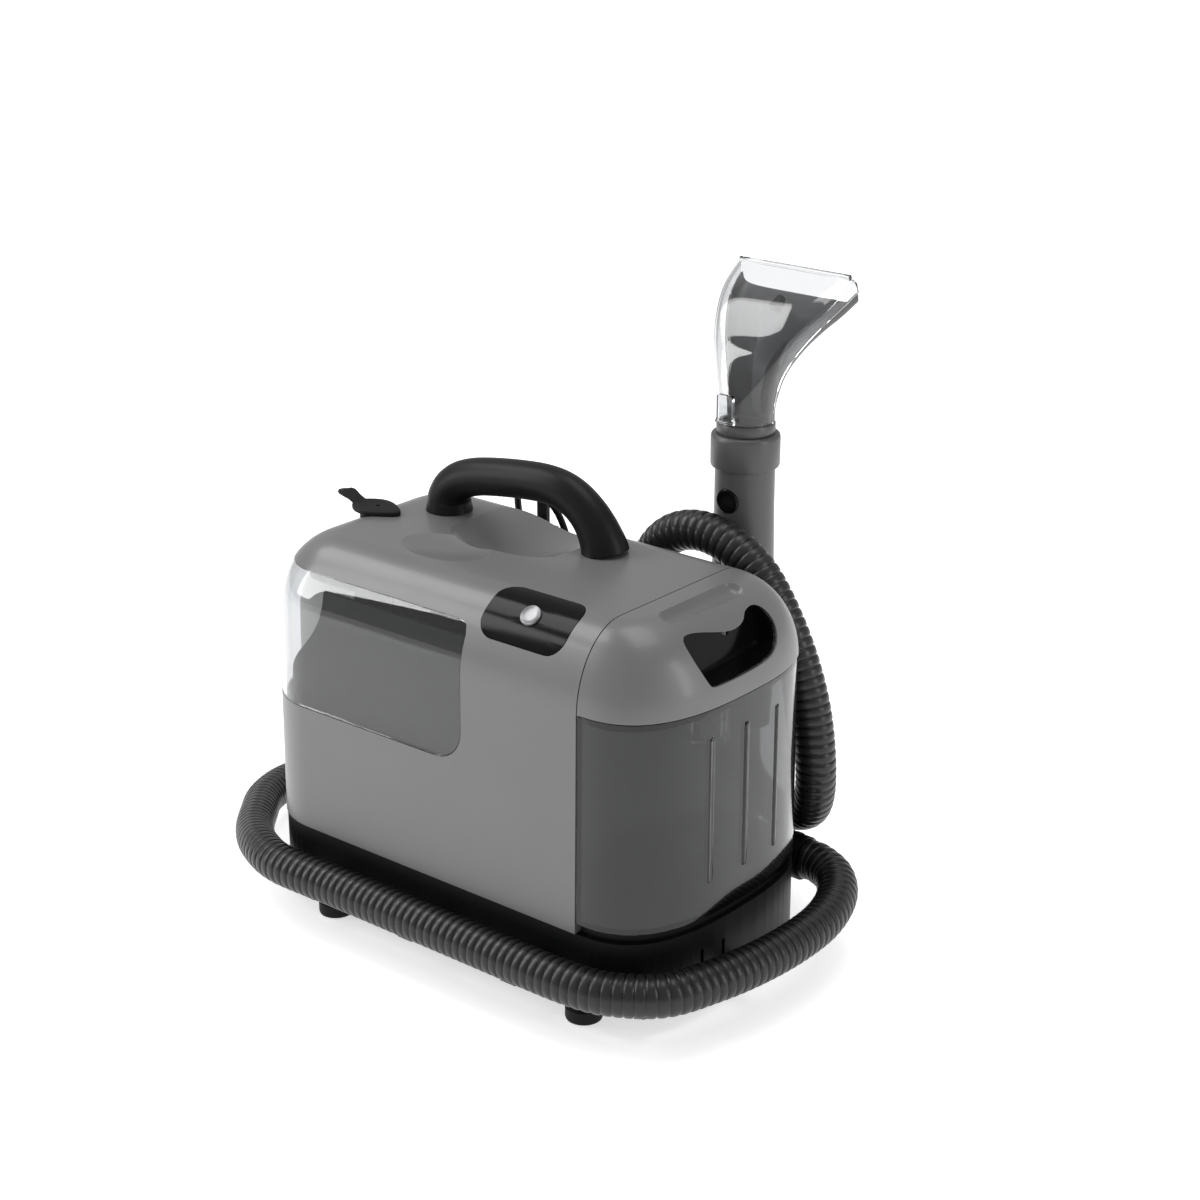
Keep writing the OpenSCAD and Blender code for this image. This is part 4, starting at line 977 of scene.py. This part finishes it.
trigger = turned("spray_trigger_disc", [(9.4, -5), (9.4, 0.2), (9.0, 0.8), (8.2, 1.1), (7.2, 0.9), (3.5, 0.5), (0.2, 0.4)],
                 (WAND_X, WAND_Y - 22, 311), Vector((0, -1, 0)))
smooth(trigger, 40)
paint(trigger, black_gloss)
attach(trigger, "spray_trigger")
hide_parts("spray_trigger")
paint(nodes["wand_holder"], tool_grey)
print("wand, collar, trigger faces:", [len(o.data.polygons) for o in (wand, collar, trigger)])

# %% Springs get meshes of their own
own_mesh(nodes["button_spring"])
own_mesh(nodes["trigger_spring"])

# %% [markdown]
# ## Inner frame behind the window
# A dark inner wall stands close behind the clear window. It turns the front left corner, and
# its left edge falls straight and then sweeps out to the lower left. Left of that edge the
# pale back of the tank shows.

# %% Inner frame
frame_wall = body_core("inner_frame_wall", left_part, 101, 8.6)
combine(frame_wall, body_core("inner_frame_hollow", left_part, 96, 11.6, seam=SEAM - 3), "DIFFERENCE")
sweep = [(-124, 266), (-122, 250), (-124, 240), (-129, 231), (-134, 224), (-141, 216), (-149, 208),
         (-158, 198), (-166, 188), (-172, 176), (-176, 160), (-178, 100)]
keep = loft("inner_frame_cut", [[(x, y, z) for x, z in sweep] + [(18.8, y, 100), (18.8, y, 266)] for y in (-20, -120)])
combine(frame_wall, keep, "INTERSECT")
combine(frame_wall, box_tool("inner_top_cut", (-200, -130, 260), (60, 0, 300)), "DIFFERENCE")
smooth(frame_wall, 30)
paint(frame_wall, dark_inner)
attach(frame_wall, "machine")
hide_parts("inner_frame")
pale_back = body_core("tank_back_wall", left_part, 104, 16)
combine(pale_back, body_core("tank_back_hollow", left_part, 100, 19, seam=SEAM - 3), "DIFFERENCE")
combine(pale_back, box_tool("back_keep", (-190, -95, 104), (-100, 30, 262)), "INTERSECT")
smooth(pale_back, 30)
paint(pale_back, white_part)
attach(pale_back, "machine")
print("inner wall faces:", len(frame_wall.data.polygons), len(pale_back.data.polygons))

# %% [markdown]
# ## Floor and light
# A pale floor and large soft lights, as in a plain studio.

# %% Floor, sky and lights
bpy.ops.object.select_all(action="DESELECT")
bpy.ops.mesh.primitive_plane_add(size=14, location=(0, 0, 0))
floor = bpy.context.object
floor.name = "floor"
floor_white = moulded("pale_floor", (0.86, 0.86, 0.86), 0.8, shade=0.0, depth=0.0, shine=0.1)
floor_shader = floor_white.node_tree.nodes["Principled BSDF"]
floor_shader.inputs["Emission Color"].default_value = (1, 1, 1, 1)
floor_shader.inputs["Emission Strength"].default_value = 0.6
paint(floor, floor_white)
world = bpy.data.worlds.new("studio")
world.use_nodes = True
world.node_tree.nodes["Background"].inputs["Color"].default_value = (1, 1, 1, 1)
world.node_tree.nodes["Background"].inputs["Strength"].default_value = 0.5
bpy.context.scene.world = world
bpy.context.scene.view_settings.view_transform = "Standard"


def soft_light(name, place, target, size, power):
    data = bpy.data.lights.new(name, "AREA")
    data.shape = "RECTANGLE"
    data.size, data.size_y = size
    data.energy = power
    light = bpy.data.objects.new(name, data)
    bpy.context.scene.collection.objects.link(light)
    light.location = place
    light.rotation_euler = (Vector(target) - Vector(place)).to_track_quat("-Z", "Y").to_euler()


soft_light("left_window", (-1.6, -1.3, 1.1), (0, 0, 0.15), (0.5, 1.6), 18)
soft_light("overhead", (0.1, 0.3, 1.9), (0, 0, 0.2), (1.2, 0.8), 9)
soft_light("shoulder_glow", (-1.25, -0.35, 1.75), (-0.05, -0.1, 0.28), (0.8, 1.0), 13)
soft_light("right_strip", (1.9, 0.5, 0.9), (0.1, 0, 0.2), (0.3, 1.4), 9)
